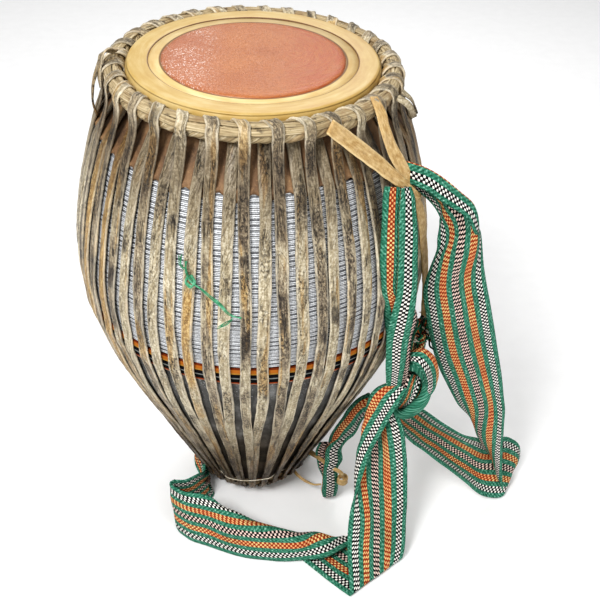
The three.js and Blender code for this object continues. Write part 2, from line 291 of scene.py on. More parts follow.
class Shader:
    """A material whose nodes are added by short calls, each of which gives an Output."""

    def __init__(self, name):
        self.material = bpy.data.materials.new(name)
        self.material.use_nodes = True
        self.tree = self.material.node_tree
        self.surface = self.tree.nodes["Principled BSDF"]

    def feed(self, socket, value):
        """Links an Output to a socket, or sets a plain value on it. None leaves it as it is."""
        if isinstance(value, Output):
            self.tree.links.new(value.socket, socket)
        elif value is not None:
            socket.default_value = value

    def node(self, kind, inputs, output=0, **settings):
        made = self.tree.nodes.new("ShaderNode" + kind)
        for key, value in settings.items():
            setattr(made, key, value)
        for key, value in inputs.items():
            self.feed(made.inputs[key], value)
        return Output(self, made.outputs[output])

    def place(self):
        return self.node("TexCoord", {}, "Object")

    def attribute(self, name):
        return self.node("Attribute", {}, "Fac", attribute_name=name)

    def math(self, operation, a, b=0.0):
        return self.node("Math", {0: a, 1: b}, operation=operation)

    def sine(self, angle):
        return self.math("SINE", angle)

    def cosine(self, angle):
        return self.math("COSINE", angle)

    def waves(self, value, pitch):
        return self.sine(value * (2 * math.pi / pitch))

    def turn(self, x, y):
        """The angle of a place about an upright axis."""
        return self.math("ARCTAN2", y, x)

    def radius(self, x, y):
        """The distance of a place from an upright axis."""
        return self.math("SQRT", x * x + y * y)

    def vector(self, x, y, z=0.0):
        return self.node("CombineXYZ", {0: x, 1: y, 2: z})

    def split(self, vector):
        """The three coordinates of a vector."""
        return [self.node("SeparateXYZ", {0: vector}, axis) for axis in range(3)]

    def noise(self, vector, scale, detail=4.0, rough=0.5, bend=0.0):
        return self.node("TexNoise", {"Vector": vector, "Scale": scale, "Detail": detail,
                                      "Roughness": rough, "Distortion": bend})

    def cell_edges(self, vector, scale):
        """The distance to the nearest edge between cells."""
        inputs = {"Vector": vector, "Scale": scale}
        return self.node("TexVoronoi", inputs, "Distance", feature="DISTANCE_TO_EDGE")

    def ramp(self, fac, stops, ease="LINEAR"):
        """A colour from a number. Stops are (place, hex code)."""
        made = self.tree.nodes.new("ShaderNodeValToRGB")
        made.color_ramp.interpolation = ease
        elements = made.color_ramp.elements
        while len(elements) < len(stops):
            elements.new(1.0)
        for element, (place, code) in zip(elements, stops):
            element.position = place
            element.color = colour(code)
        self.feed(made.inputs[0], fac)
        return Output(self, made.outputs[0])

    def band(self, value, low, high, to_low=0.0, to_high=1.0):
        """A number that goes smoothly from to_low to to_high as value goes from low to high."""
        inputs = {"Value": value, "From Min": low, "From Max": high, "To Min": to_low, "To Max": to_high}
        return self.node("MapRange", inputs, interpolation_type="SMOOTHSTEP")

    def mix(self, fac, a, b, blend="MIX"):
        """Two colours mixed. Each is an Output or a hex code."""
        a, b = (colour(v) if isinstance(v, str) else v for v in (a, b))
        made = self.tree.nodes.new("ShaderNodeMix")
        made.data_type = "RGBA"
        made.blend_type = blend
        inputs = {socket.identifier: socket for socket in made.inputs}
        for key, value in (("Factor_Float", fac), ("A_Color", a), ("B_Color", b)):
            self.feed(inputs[key], value)
        outputs = {socket.identifier: socket for socket in made.outputs}
        return Output(self, outputs["Result_Color"])

    def bump(self, height, distance, normal=None):
        return self.node("Bump", {"Height": height, "Distance": distance, "Normal": normal})

    def finish(self, base, rough, normal=None, **values):
        """Links the surface. values are plain numbers for the shader's own sockets."""
        for key, value in (("Base Color", base), ("Roughness", rough), ("Normal", normal)):
            self.feed(self.surface.inputs[key], value)
        for key, value in values.items():
            title = key.replace("_", " ").title().replace("Ior", "IOR")
            self.surface.inputs[title].default_value = value
        return self.material


def rawhide_lacing():
    """Old goat-hide lace: grey where the weather reached it, golden where it didn't."""
    s = Shader("rawhide_lacing")
    across, along = s.attribute("across"), s.attribute("along")
    seed, tone = s.attribute("seed"), s.attribute("tone")
    lane = s.vector(across, along * 0.1, seed)
    flesh = s.vector(across, along, seed)
    fibres = s.noise(lane, 620, 3, 0.55)
    grain = s.noise(flesh, 460, 5, 0.7)
    shade = fibres * 0.4 + grain * 0.6
    slant = s.vector(across + along * 0.35, along * 0.08, seed)
    wrinkle = s.noise(slant, 240, 3, 0.5)
    blotch = s.noise(s.vector(across * 0.6, along * 0.3, seed), 70, 4, 0.6)
    speck = s.noise(s.vector(across, along * 0.6, seed), 560, 5, 0.65)
    crack = s.noise(s.vector(across, along * 0.05, seed), 210, 5, 0.65, 0.9)
    tan = s.noise(flesh, 55, 3, 0.5)
    golden = s.ramp(shade, [(0.4, "765a2e"), (0.5, "a38048"), (0.6, "cdb27c")])
    pale = s.ramp(shade, [(0.4, "86795f"), (0.5, "ada084"), (0.6, "d8cfb8")])
    grey = s.ramp(shade, [(0.4, "5c5041"), (0.5, "887963"), (0.6, "b4a68b")])
    weather = tone + s.band(blotch, 0.35, 0.65, -0.22, 0.22)
    base = s.mix(s.band(tone + s.band(blotch, 0.3, 0.7, -0.05, 0.05), 0.16, 0.24), golden, pale)
    base = s.mix(s.band(weather, 0.45, 0.85), base, grey)
    base = s.mix(s.band(tan, 0.5, 0.75, 0.0, 0.4), base, "a08a64")
    reach = s.vector(across * 1.2, along * 0.12, seed * 5.0)
    sheltered = s.noise(reach, 90, 3, 0.5)
    base = s.mix(s.band(sheltered, 0.54, 0.62, 0.0, 0.75), base, golden)
    mottled = s.band(blotch, 0.48, 0.58) * s.band(weather, 0.3, 0.7, 0.3, 1.0)
    pits = s.band(speck, 0.53, 0.58) * mottled
    base = s.mix(pits * 0.85, base, "2b2119")
    aged = s.band(weather + s.band(tan, 0.45, 0.6, -0.3, 0.3), 0.5, 0.8)
    splits = s.band(abs(crack - 0.5), 0.026, 0.004) * aged
    creases = s.band(abs(wrinkle - 0.5), 0.02, 0.0)
    base = s.mix(splits * 0.9, base, "18120d")
    base = s.mix(creases * s.band(weather, 0.2, 0.8, 0.15, 0.45), base, "3b2f24")
    patch = s.vector(across * 0.5, along * 0.3, seed * 3.0)
    stain = s.band(s.noise(patch, 48, 5, 0.65), 0.57, 0.64) * s.band(weather, 0.3, 0.6)
    base = s.mix(stain * s.band(grain, 0.38, 0.55, 0.45, 0.95), base, "261c15")
    flecks = s.band(s.noise(flesh, 900, 3, 0.6), 0.64, 0.7)
    base = s.mix(flecks * 0.6, base, "efe8d8")
    # painted highlight: both edges of each lace are lightened towards pale cream
    edge = s.band(abs(across), 3.2 * MM, 4.4 * MM)
    base = s.mix(edge * 0.5, base, "e6dcc6")
    z = s.split(s.place())[2]
    shaded = s.band(z, 0.38, 0.46, 0.0, 0.7) * s.band(z, 0.492, 0.476)
    base = s.mix(shaded, base, "7f705b", "MULTIPLY")
    # painted highlight: the laces are lightened where they pass over the top of the large hoop
    base = s.mix(s.band(z, 0.482, 0.496, 0.0, 0.15), base, "cbb994")
    # painted shade: the laces darken towards the foot, under the drum's belly
    base = s.mix(s.band(z, 0.24, 0.06, 0.0, 0.75), base, "84705a", "MULTIPLY")
    fine = s.bump(shade - s.math("MAXIMUM", pits, splits), 0.5 * MM)
    normal = s.bump(wrinkle - creases, 0.5 * MM, fine)
    return s.finish(base, s.ramp(blotch, [(0.3, "a0a0a0"), (0.7, "d8d8d8")]), normal)


def newer_rawhide():
    """The ties' rawhide: younger than the lacing, golden and translucent at its edges."""
    s = Shader("newer_rawhide")
    across, along, seed = s.attribute("across"), s.attribute("along"), s.attribute("seed")
    lane = s.vector(across, along * 0.3, seed)
    fibres = s.noise(lane, 500, 5, 0.6)
    blotch = s.noise(s.vector(across, along, seed), 120, 4, 0.6)
    base = s.ramp(fibres, [(0.25, "94713c"), (0.5, "bd9a62"), (0.72, "dcc592")])
    base = s.mix(s.band(blotch, 0.4, 0.7, 0.0, 0.5), base, "d9bd8f")
    edge = s.band(abs(across), 4.4 * MM, 6.4 * MM)
    base = s.mix(edge * 0.6, base, "eed6a4")
    speck = s.band(s.noise(s.vector(across, along, seed), 700, 3, 0.55), 0.62, 0.72)
    base = s.mix(speck * 0.5, base, "f2e6c8")
    return s.finish(base, 0.6, s.bump(fibres + blotch, 0.4 * MM))


def rawhide_hoop():
    """Twisted strands of the same hide, with dark creases and dark patches."""
    s = Shader("rawhide_hoop")
    across, along, seed = s.attribute("across"), s.attribute("along"), s.attribute("seed")
    lane = s.vector(across, along * 0.06, seed)
    fibres = s.noise(lane, 420, 4, 0.6, 0.3)
    blotch = s.noise(s.place(), 60, 4, 0.6)
    base = s.ramp(fibres, [(0.3, "35281b"), (0.42, "968361"), (0.56, "bba985"), (0.72, "ded2b6")])
    base = s.mix(s.band(blotch, 0.42, 0.7, 0.0, 0.8), base, "8a6f4a")
    base = s.mix(s.band(s.noise(s.place(), 130, 4, 0.6), 0.56, 0.7, 0.0, 0.75), base, "33261a")
    return s.finish(base, 0.75, s.bump(fibres, 1.0 * MM))


def head_leather(name, dark, mid, light, ring_dark):
    """Stretched hide with faint streaks round the head; it darkens at the radius ring_dark."""
    s = Shader(name)
    where = s.place()
    x, y, z = s.split(where)
    radius, turn = s.radius(x, y), s.turn(x, y)
    ring = s.vector(s.cosine(turn) * 0.05, s.sine(turn) * 0.05, radius * 3.0)
    streak = s.noise(ring, 60, 5, 0.6)
    cloud = s.noise(where, 18, 4, 0.55)
    fine = s.noise(where, 900, 3, 0.6)
    both = streak * 0.5 + cloud * 0.5
    base = s.ramp(both, [(0.35, dark), (0.5, mid), (0.66, light)])
    rim = s.band(abs(radius - ring_dark), 1.6 * MM, 0.3 * MM)
    base = s.mix(rim * 0.85, base, "5a2f14")
    # painted shade: the hide turns dark brown as it goes down beside the hoop; hides lower down are
    # darkened all over
    base = s.mix(s.band(z, 0.494, 0.486, 0.0, 0.9), base, "7d5c3a")
    normal = s.bump(fine + streak * 1.5, 0.12 * MM)
    rough = s.band(cloud, 0.3, 0.7, 0.42, 0.56)
    return s.finish(base, rough, normal, coat_weight=0.08, coat_roughness=0.35)


RUB_CENTRE = (12 * MM, 10 * MM, 503 * MM)


def tuning_paste():
    """Polished clay-red paste, rubbed smooth in arcs, with fine cracks and glints painted pale on its
    left side.
    """
    s = Shader("tuning_paste")
    where = s.place()
    x, y = s.split(where)[:2]
    away = s.node("VectorMath", {0: where, 1: RUB_CENTRE}, operation="DISTANCE", output="Value")
    turn = s.turn(x - RUB_CENTRE[0], y - RUB_CENTRE[1])
    arcs = s.noise(s.vector(s.cosine(turn) * 0.03, s.sine(turn) * 0.03, away * 4.0), 110, 5, 0.6, 0.4)
    cloud = s.noise(where, 16, 4, 0.55)
    grit = s.noise(where, 1400, 2, 0.6)
    crazing = s.cell_edges(where, 420)
    base = s.ramp(cloud, [(0.3, "a85f2e"), (0.5, "b46d38"), (0.7, "bf7a44")])
    base = s.mix(s.band(x, -0.01, -0.06, 0.0, 0.6), base, "b8775a")
    base = s.mix(s.band(x, 0.02, 0.065, 0.0, 0.8), base, "b2601e")
    rubbed = s.band(x, 0.01, 0.05) * s.band(arcs, 0.42, 0.6)
    base = s.mix(rubbed * 0.65, base, "a8440f")
    mottle = s.noise(where, 380, 4, 0.65)
    base = s.mix(s.band(mottle, 0.42, 0.62, 0.0, 0.3), base, "96502a")
    cracks = s.band(crazing, 0.035, 0.0)
    base = s.mix(cracks * 0.35, base, "8a3f24")
    # painted highlight: pale specks on the left stand in for a lamp's speckled reflection
    painted_glints = s.band(s.noise(where, 650, 3, 0.6), 0.565, 0.62) * s.band(x, -0.02, -0.06)
    painted_glints = painted_glints * s.band(cloud, 0.36, 0.5)
    base = s.mix(painted_glints * 0.8, base, "fbeee8")
    rim = s.band(s.radius(x, y), 78.5 * MM, 80 * MM)
    base = s.mix(rim * 0.4, base, "94502f")
    normal = s.bump(grit * 0.5 + arcs - cracks * 0.5, 0.35 * MM)
    return s.finish(base, s.band(grit, 0.35, 0.65, 0.25, 0.55), normal)


def silver_brocade():
    """Ribbed wrap woven with silvery thread: bright ribs with dark lines between them."""
    s = Shader("silver_brocade")
    where = s.place()
    x, y, z = s.split(where)
    level = z + s.noise(where, 12, 2, 0.5) * (3.0 * MM)
    fine = s.waves(level, 1.55 * MM)
    threads = s.sine(s.turn(x, y) * 640)
    glitter = s.noise(where, 900, 3, 0.7)
    # the fine noise takes the thread from dark grey to near white: its own mottling, with painted glints
    # at the bright end
    shade = fine * 0.22 + glitter * 0.9
    base = s.ramp(shade, [(0.18, "67686c"), (0.34, "9b9ea2"), (0.46, "c8cace"), (0.62, "eceef0")])
    base = s.mix(s.attribute("groove"), base, "3c3d40")
    height = fine * 0.5 + threads * 0.2 + glitter
    return s.finish(base, 0.42, s.bump(height, 0.3 * MM), metallic=0.25)


def striped_ribbon(low, high):
    """Woven stripes, listed from the ribbon's lower edge to its upper one."""
    s = Shader("striped_ribbon")
    where = s.place()
    x, y, z = s.split(where)
    level = z + s.noise(where, 25, 2, 0.5) * (0.8 * MM)
    part = (level - (low + 0.4 * MM)) / (high - low)
    stripes = [(0.0, "c9a890"), (0.05, "a8481c"), (0.14, "07060a"), (0.38, "8f9493"), (0.45, "0a060e"),
               (0.66, "b98a3c"), (0.74, "c27428"), (0.92, "7c3412")]
    base = s.ramp(part, stripes, "CONSTANT")
    weave = s.sine(s.turn(x, y) * 700) * s.waves(level, 1.1 * MM)
    base = s.mix(s.band(weave, 0.3, 0.9, 0.0, 0.2), base, "d8a468", "OVERLAY")
    return s.finish(base, 0.9, s.bump(weave, 0.25 * MM), specular_ior_level=0.15)


def grey_cloth(height):
    """Dull grey cotton that turns dark brown towards the foot, with painted sheen near its top."""
    s = Shader("grey_cloth")
    where = s.place()
    x, y, z = s.split(where)
    cloud = s.noise(where, 22, 5, 0.6)
    streak = s.noise(s.vector(x, y, z * 0.2), 70, 4, 0.6)
    upper = s.ramp(streak, [(0.3, "3b3a38"), (0.5, "62615f"), (0.7, "999997")])
    lower = s.ramp(cloud, [(0.3, "1d1812"), (0.5, "3b3226"), (0.7, "65594a")])
    drop = z + s.band(cloud, 0.3, 0.7, -0.025, 0.025)
    base = s.mix(s.band(drop, height * 0.4, height * 0.95), lower, upper)
    weave = s.sine(s.turn(x, y) * 520) * s.waves(z, 1.2 * MM)
    # painted sheen: pale specks near the top of the cloth
    painted_sheen = s.band(s.noise(where, 600, 2, 0.5), 0.62, 0.7) * s.band(z, height * 0.8, height)
    base = s.mix(painted_sheen * 0.7, base, "dfe2e6")
    return s.finish(base, 0.85, s.bump(weave + cloud, 0.25 * MM), specular_ior_level=0.25)


def skirt_leather():
    """The brown hide that hangs below the large hoop."""
    s = Shader("skirt_leather")
    where = s.place()
    cloud = s.noise(where, 40, 5, 0.6)
    fine = s.noise(where, 500, 4, 0.65)
    base = s.ramp(cloud, [(0.3, "4b3624"), (0.5, "77593c"), (0.68, "9c7c58")])
    base = s.mix(s.band(fine, 0.55, 0.75, 0.0, 0.45), base, "c09a6c")
    return s.finish(base, 0.7, s.bump(fine + cloud, 0.5 * MM))


def fired_clay():
    """Unglazed red clay."""
    s = Shader("fired_clay")
    where = s.place()
    cloud = s.noise(where, 14, 5, 0.6)
    grit = s.noise(where, 700, 3, 0.6)
    base = s.ramp(cloud, [(0.3, "84472e"), (0.5, "a25d3e"), (0.7, "b9744f")])
    base = s.mix(s.band(grit, 0.6, 0.72, 0.0, 0.4), base, "d8a888")
    return s.finish(base, 0.9, s.bump(grit, 0.4 * MM))


# How far the outer edge of each of the sling's stripes is from the middle of the band.
PINK_EDGE, INNER_GREEN_EDGE, ORANGE_EDGE = 3.4 * MM, 8.3 * MM, 14.9 * MM
OUTER_GREEN_EDGE, CHECK_EDGE = 19.8 * MM, 26.4 * MM


def sling_weave():
    """Thick cotton webbing: green ribs between checked stripes, the same on both faces."""
    s = Shader("sling_weave")
    across, along = s.attribute("across"), s.attribute("along")
    sway = s.noise(s.vector(across, along), 60, 2) * (0.5 * MM)
    off = abs(across + sway) - 0.12 * MM
    pick = 2.3 * MM
    rows = s.waves(along, 2 * pick)
    knit = s.noise(s.vector(across, along), 420, 3, 0.6)

    def checks(start, width):
        """Columns of squares across a stripe, near 1 on the pale ones and 0 on the dark."""
        columns = s.waves(off - start, 2 * width)
        return s.band(rows * columns + s.band(knit, 0.3, 0.7, -0.12, 0.12), 0.04, 0.24)

    mono = s.ramp(checks(OUTER_GREEN_EDGE, 2.2 * MM), [(0.0, "060608"), (1.0, "fbf8f0")])
    pinkish = s.ramp(checks(-1.13 * MM, 2.27 * MM), [(0.0, "070506"), (1.0, "f7dccf")])
    warm = s.mix(s.band(s.noise(s.vector(0.0, along), 26, 2), 0.4, 0.62), "f0ae76", "f8d694")
    orange = s.mix(checks(INNER_GREEN_EDGE, 2.2 * MM), "9c3815", warm)
    yarn = s.sine(along * (math.pi / pick) + off * (2 * math.pi / (2.9 * MM)))
    greens = [(0.3, "1c4f3e"), (0.45, "2e745b"), (0.58, "4c937a"), (0.75, "a6d5c3")]
    green = s.ramp(yarn * 0.08 + knit, greens)
    base = pinkish
    for edge, beyond in ((PINK_EDGE, green), (INNER_GREEN_EDGE, orange), (ORANGE_EDGE, green),
                         (OUTER_GREEN_EDGE, mono), (CHECK_EDGE, green)):
        base = s.mix(off > edge, base, beyond)
    cords = abs(s.waves(off, 4.8 * MM))
    height = cords + abs(rows) * 0.6 + knit * 0.8
    grime = s.noise(s.place(), 30, 4, 0.6)
    base = s.mix(s.band(grime, 0.5, 0.75, 0.0, 0.25), base, "3d4a3c", "MULTIPLY")
    return s.finish(base, 0.85, s.bump(height, 0.6 * MM), specular_ior_level=0.2)


def green_plastic():
    """Thin plastic string."""
    s = Shader("green_plastic")
    where = s.place()
    base = s.ramp(s.noise(where, 160, 3, 0.6), [(0.35, "256b45"), (0.55, "479a72"), (0.75, "8ccfae")])
    return s.finish(base, 0.4, s.bump(s.noise(where, 700, 3, 0.6), 0.3 * MM))


def loose_yarn():
    """Cotton yarns of the sling's own colours; the tone of each picks its colour."""
    s = Shader("loose_yarn")
    where = s.place()
    dyes = [(0.0, "2c8462"), (0.42, "f3ede0"), (0.6, "141414"), (0.78, "d9762f"), (0.9, "e8b04a")]
    dye = s.ramp(s.attribute("tone"), dyes, "CONSTANT")
    fuzz = s.noise(where, 900, 3, 0.6)
    base = s.mix(s.band(fuzz, 0.5, 0.7, 0.0, 0.4), dye, "0c0c0c", "MULTIPLY")
    return s.finish(base, 0.9, s.bump(fuzz, 0.3 * MM), specular_ior_level=0.2)


def pale_thread():
    """Undyed cotton."""
    s = Shader("pale_thread")
    where = s.place()
    base = s.ramp(s.noise(where, 500, 3, 0.6), [(0.3, "b9ad92"), (0.7, "f0e8d6")])
    return s.finish(base, 0.85, s.bump(s.noise(where, 1500, 3, 0.6), 0.2 * MM))


LACING = rawhide_lacing()
STRAP = newer_rawhide()
HOOP = rawhide_hoop()
RING_SKIN = head_leather("ring_skin", "b08b46", "bd9f5d", "cdb782", RING_INNER)
MAIN_SKIN = head_leather("main_skin", "c9a566", "d8bc84", "e6d2a2", PASTE_EDGE)
PASTE = tuning_paste()
BROCADE = silver_brocade()
SKIRT = skirt_leather()
CLAY = fired_clay()
WEAVE = sling_weave()
PLASTIC = green_plastic()
THREAD = pale_thread()
YARN = loose_yarn()

make_camera()
make_studio()
make_floor()


# ---------------------------------------------------------------- the drum's outline

def cad_outline(*names):
    """Heights and outer radii of turned CAD nodes, from low to high."""
    radii = {}
    for name in names:
        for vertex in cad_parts[name].data.vertices:
            z = round(vertex.co.z, 4)
            radii[z] = max(radii.get(z, 0.0), math.hypot(vertex.co.x, vertex.co.y))
    heights = sorted(radii)
    return np.array(heights), np.array([radii[z] for z in heights])


RIBBED_LOW, RIBBED_HIGH = (corner.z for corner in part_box("ribbed_cover"))
RIBBON_LOW, RIBBON_HIGH = (corner.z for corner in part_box("ribbon_band"))
CLOTH_LOW, CLOTH_HIGH = (corner.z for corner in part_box("lower_cover"))
COVER_HEIGHTS, COVER_RADII = cad_outline("lower_cover", "ribbon_band", "ribbed_cover")
KEEP = np.concatenate([[True], np.diff(COVER_HEIGHTS) > 2 * MM])
COVER_HEIGHTS, COVER_RADII = COVER_HEIGHTS[KEEP], COVER_RADII[KEEP]


def cover_radius(z):
    return smooth(COVER_HEIGHTS, COVER_RADII, np.atleast_1d(z))


def hoop_shape(node):
    """(radius of the circle, radius of the tube, height) of a hoop's CAD node."""
    low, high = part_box(node)
    tube = (high.z - low.z) / 2
    return high.x - tube, tube, (high.z + low.z) / 2


HOOP_RADIUS, HOOP_TUBE, HOOP_Z = hoop_shape("large_head_hoop")
FOOT_RADIUS, FOOT_TUBE, FOOT_Z = hoop_shape("small_head_hoop")
HEAD_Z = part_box("large_head_ring_skin")[1].z
# How far the turned heads stop short of the axis, so that no face has two corners in one place.
AXIS_GAP = 0.002 * MM


def polar(radius, angle, z):
    """Points or directions from distances from the Z axis, angles about it and heights."""
    radius, angle, z = np.broadcast_arrays(radius, angle, z)
    return np.stack([radius * np.cos(angle), radius * np.sin(angle), z], -1)


def turned_rows(radii, heights, columns, rise=None, swell=None):
    """Rings of points about Z for a profile. rise and swell are functions of a point's angle,
    radius and height that move it up and outwards."""
    angles = np.arange(columns) * 2 * math.pi / columns
    grid_r = np.repeat(np.asarray(radii, float)[:, None], columns, 1)
    grid_z = np.repeat(np.asarray(heights, float)[:, None], columns, 1)
    grid_a = np.broadcast_to(angles, grid_r.shape)
    if swell:
        grid_r = grid_r + swell(grid_a, grid_r, grid_z)
    if rise:
        grid_z = grid_z + rise(grid_a, grid_r, grid_z)
    return polar(grid_r, grid_a, grid_z)


def wavy(seed, counts=(3, 5, 8, 13, 21)):
    """A random smooth function of an angle, from about -1 to 1, that meets itself round a circle."""
    rng = np.random.default_rng(seed)
    phases = rng.uniform(0, 2 * math.pi, len(counts))
    weights = 1 / np.sqrt(np.array(counts, float))
    weights /= weights.sum()

    def value(angle):
        return sum(w * np.sin(n * angle + p) for n, p, w in zip(counts, phases, weights))
    return value


def rounded(points, radius, steps=4):
    """A profile with its corners rounded off and its two ends left as they are."""
    result = [points[0]]
    for before, corner, after in zip(points[:-2], points[1:-1], points[2:]):
        before, corner, after = (np.array(p, float) for p in (before, corner, after))
        reach = min(radius, np.linalg.norm(before - corner) / 2, np.linalg.norm(after - corner) / 2)
        start = corner + unit(before - corner) * reach
        end = corner + unit(after - corner) * reach
        for t in np.linspace(0, 1, steps + 1):
            result.append(tuple((1 - t) ** 2 * start + 2 * t * (1 - t) * corner + t**2 * end))
    return result + [points[-1]]


# ---------------------------------------------------------------- covers

def wrap_depth(low, high):
    """How deep a cloth is that lies along the drum's flank from one height to another."""
    heights = np.linspace(low, high, 50)
    return float(np.hypot(np.diff(heights), np.diff(cover_radius(heights))).sum())


def wrap_girth(low, high):
    """How long a strip is that goes once round the drum between two heights."""
    return float(2 * math.pi * cover_radius(np.linspace(low, high, 50)).mean())


def wrap_grid(pile, radii, heights, columns, thickness, inner_step, groove=None, **moves):
    """A cloth round the drum: its outer face by rows, and a plainer inner face that closes it."""
    inner = np.arange(len(heights))[::-1][::inner_step]
    rows = turned_rows(np.append(radii, cover_radius(heights[inner]) - thickness),
                       np.append(heights, heights[inner]), columns, **moves)
    marks = np.zeros(len(rows))
    if groove is not None:
        marks[:len(heights)] = groove
    pile.grid(rows, closed_rows=True, closed_columns=True, groove=marks[:, None])


def make_ribbed_cover():
    """Horizontal ribs with a dark line after each, a little uneven as hand-laid cloth is."""
    pitch = 4.4 * MM
    step = pitch / 6
    heights = np.arange(RIBBED_LOW, RIBBED_HIGH, step)
    phase = (heights - RIBBED_LOW) / pitch % 1
    groove = np.clip(1 - np.minimum(phase, 1 - phase) * 6, 0, 1)
    radii = cover_radius(heights) - 0.9 * MM * groove
    level = wavy(3)
    pile = Pile()
    wrap_grid(pile, radii, heights, 256, 3 * MM, 6, groove, rise=lambda a, r, z: 1.2 * MM * level(a))
    cloth = place_piece(pile.make("ribbed_cover_cloth", BROCADE), "silver_wrap", "ribbed_cover")
    wrap_depth(RIBBED_LOW, RIBBED_HIGH)
    wrap_girth(RIBBED_LOW, RIBBED_HIGH)


def make_ribbon_band():
    """The striped ribbon round the drum, between the ribbed cover and the lower one."""
    heights = np.linspace(RIBBON_LOW, RIBBON_HIGH, 14)
    level = wavy(5)
    pile = Pile()
    wrap_grid(pile, cover_radius(heights) + 0.5 * MM, heights, 256, 1.2 * MM, 1,
              rise=lambda a, r, z: 0.8 * MM * level(a))
    ribbon = striped_ribbon(RIBBON_LOW, RIBBON_HIGH)
    weave = place_piece(pile.make("ribbon_band_weave", ribbon), "ribbon", "ribbon_band")
    wrap_depth(RIBBON_LOW, RIBBON_HIGH)
    wrap_girth(RIBBON_LOW, RIBBON_HIGH)


def make_lower_cover():
    """Cloth pulled down to the foot, so that it gathers in upright folds lower down."""
    heights = np.linspace(CLOTH_HIGH, CLOTH_LOW, 90)
    radii = cover_radius(heights)
    folds, ripples = wavy(7, (17, 23, 31, 43, 59)), wavy(8, (70, 85, 101))

    def swell(angle, radius, z):
        loose = np.clip((CLOTH_HIGH - z) / (CLOTH_HIGH - CLOTH_LOW), 0, 1)
        return (0.2 + 1.3 * loose) * MM * (folds(angle + 0.6 * z) + 0.4 * ripples(angle))
    pile = Pile()
    wrap_grid(pile, radii, heights, 360, 1.5 * MM, 3, swell=swell)
    cotton = grey_cloth(CLOTH_HIGH)
    cloth = place_piece(pile.make("lower_cover_cloth", cotton), "grey_cloth", "lower_cover")
    wrap_depth(CLOTH_LOW, CLOTH_HIGH)
    wrap_girth(CLOTH_LOW, CLOTH_HIGH)


# ---------------------------------------------------------------- heads

def make_head_pieces():
    """The large head: the flat of its main skin, the ring skin over it and the tuning paste."""
    top = HEAD_Z
    skin_edge, skin_top, skin_bottom = RING_INNER + 3 * MM, top - 1.1 * MM, top - 3.1 * MM
    skin = np.array([(AXIS_GAP, skin_top), (70 * MM, skin_top), (skin_edge, skin_top),
                     (skin_edge, skin_bottom), (AXIS_GAP, skin_bottom)])
    pile = Pile()
    pile.grid(turned_rows(skin[:, 0], skin[:, 1], 128), closed_columns=True)
    place_piece(pile.make("large_head_main_skin", MAIN_SKIN), "head_skin")

    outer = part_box("large_head_ring_skin")[1].x
    dip = wavy(11)

    def uneven(angle, radius, z):
        return 0.35 * MM * dip(angle + 9 * radius)
    ring = np.array(rounded([
        (RING_INNER + 0.3 * MM, top - 1.9 * MM), (RING_INNER, top - 0.3 * MM),
        (RING_INNER + 4 * MM, top), (outer - 1.5 * MM, top), (outer + 0.6 * MM, top - 3 * MM),
        (outer + 1.2 * MM, top - 7 * MM), (outer + 0.4 * MM, top - 15 * MM)], 2 * MM))
    pile = Pile()
    pile.grid(turned_rows(ring[:, 0], ring[:, 1], 192, rise=uneven), closed_columns=True)
    place_piece(pile.make("large_head_ring_hide", RING_SKIN), "ring_skin", "large_head_ring_skin")

    paste_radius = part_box("large_head_paste")[1].x
    edge = wavy(13, (4, 7, 11, 17, 29))

    def swell(angle, radius, z):
        return 0.7 * MM * edge(angle) * (radius / paste_radius) ** 4
    dome = [(AXIS_GAP, top + 0.9 * MM)]
    dome += [(paste_radius * s, top + (0.9 - 0.5 * s * s) * MM) for s in np.linspace(0.1, 0.93, 14)]
    dome += [(paste_radius * 0.975, top - 0.1 * MM)]
    dome += [(paste_radius, top - 1.1 * MM), (paste_radius, top - 2.2 * MM)]
    dome = np.array(dome)
    pile = Pile()
    pile.grid(turned_rows(dome[:, 0], dome[:, 1], 192, swell=swell), closed_columns=True)
    place_piece(pile.make("large_head_tuning_paste", PASTE), "tuning_paste", "large_head_paste")


def make_small_head():
    """The small head faces down: its skin, lining and ring hides, and a disc of paste."""
    dip = wavy(23, (3, 5, 9, 14))
    axis = 0.01 * MM

    def uneven(angle, radius, z):
        return 0.1 * MM * dip(angle + 20 * radius) * (z > 2 * MM)

    def turned_hide(name, profile, material, slot, node):
        pile = Pile()
        profile = np.array(rounded(profile, 1.2 * MM))
        pile.grid(turned_rows(profile[:, 0], profile[:, 1], 128, rise=uneven), closed_columns=True)
        place_piece(pile.make(name, material), slot, node)

    edge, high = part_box("small_head_ring_skin")[1].xz
    inner, low, hide = 28 * MM, 0.1 * MM, 1.2 * MM
    turned_hide("small_head_ring_hide", [
        (inner, 1.3 * MM), (inner, low), (edge - 1.5 * MM, low), (edge, 1.5 * MM),
        (edge, high), (edge - hide, high), (edge - hide, 2.2 * MM),
    ], RING_SKIN, "ring_skin", "small_head_ring_skin")
    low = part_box("small_head_skin")[0].z
    edge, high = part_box("small_head_skin")[1].xz
    hide = 0.9 * MM
    turned_hide("small_head_main_skin", [
        (axis, low), (edge - 1.2 * MM, low), (edge, low + 1.2 * MM), (edge, high),
        (edge - hide, high), (edge - hide, low + 1.0 * MM), (axis, low + 1.0 * MM),
    ], MAIN_SKIN, "head_skin", "small_head_skin")
    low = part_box("small_head_lining_ring")[0].z
    edge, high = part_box("small_head_lining_ring")[1].xz
    inner, hide = 27 * MM, 0.7 * MM
    turned_hide("small_head_lining_hide", [
        (inner, low + hide), (inner, low), (edge - 0.8 * MM, low), (edge, low + 0.8 * MM),
        (edge, high), (edge - hide, high), (edge - hide, low + 0.8 * MM),
    ], MAIN_SKIN, "head_skin", "small_head_lining_ring")
    edge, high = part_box("small_head_paste")[1].x, 1.3 * MM
    turned_hide("small_head_tuning_paste", [
        (axis, 0.0), (edge - 1.5 * MM, 0.05 * MM), (edge, 0.7 * MM), (edge, high), (axis, high),
    ], PASTE, "tuning_paste", "small_head_paste")


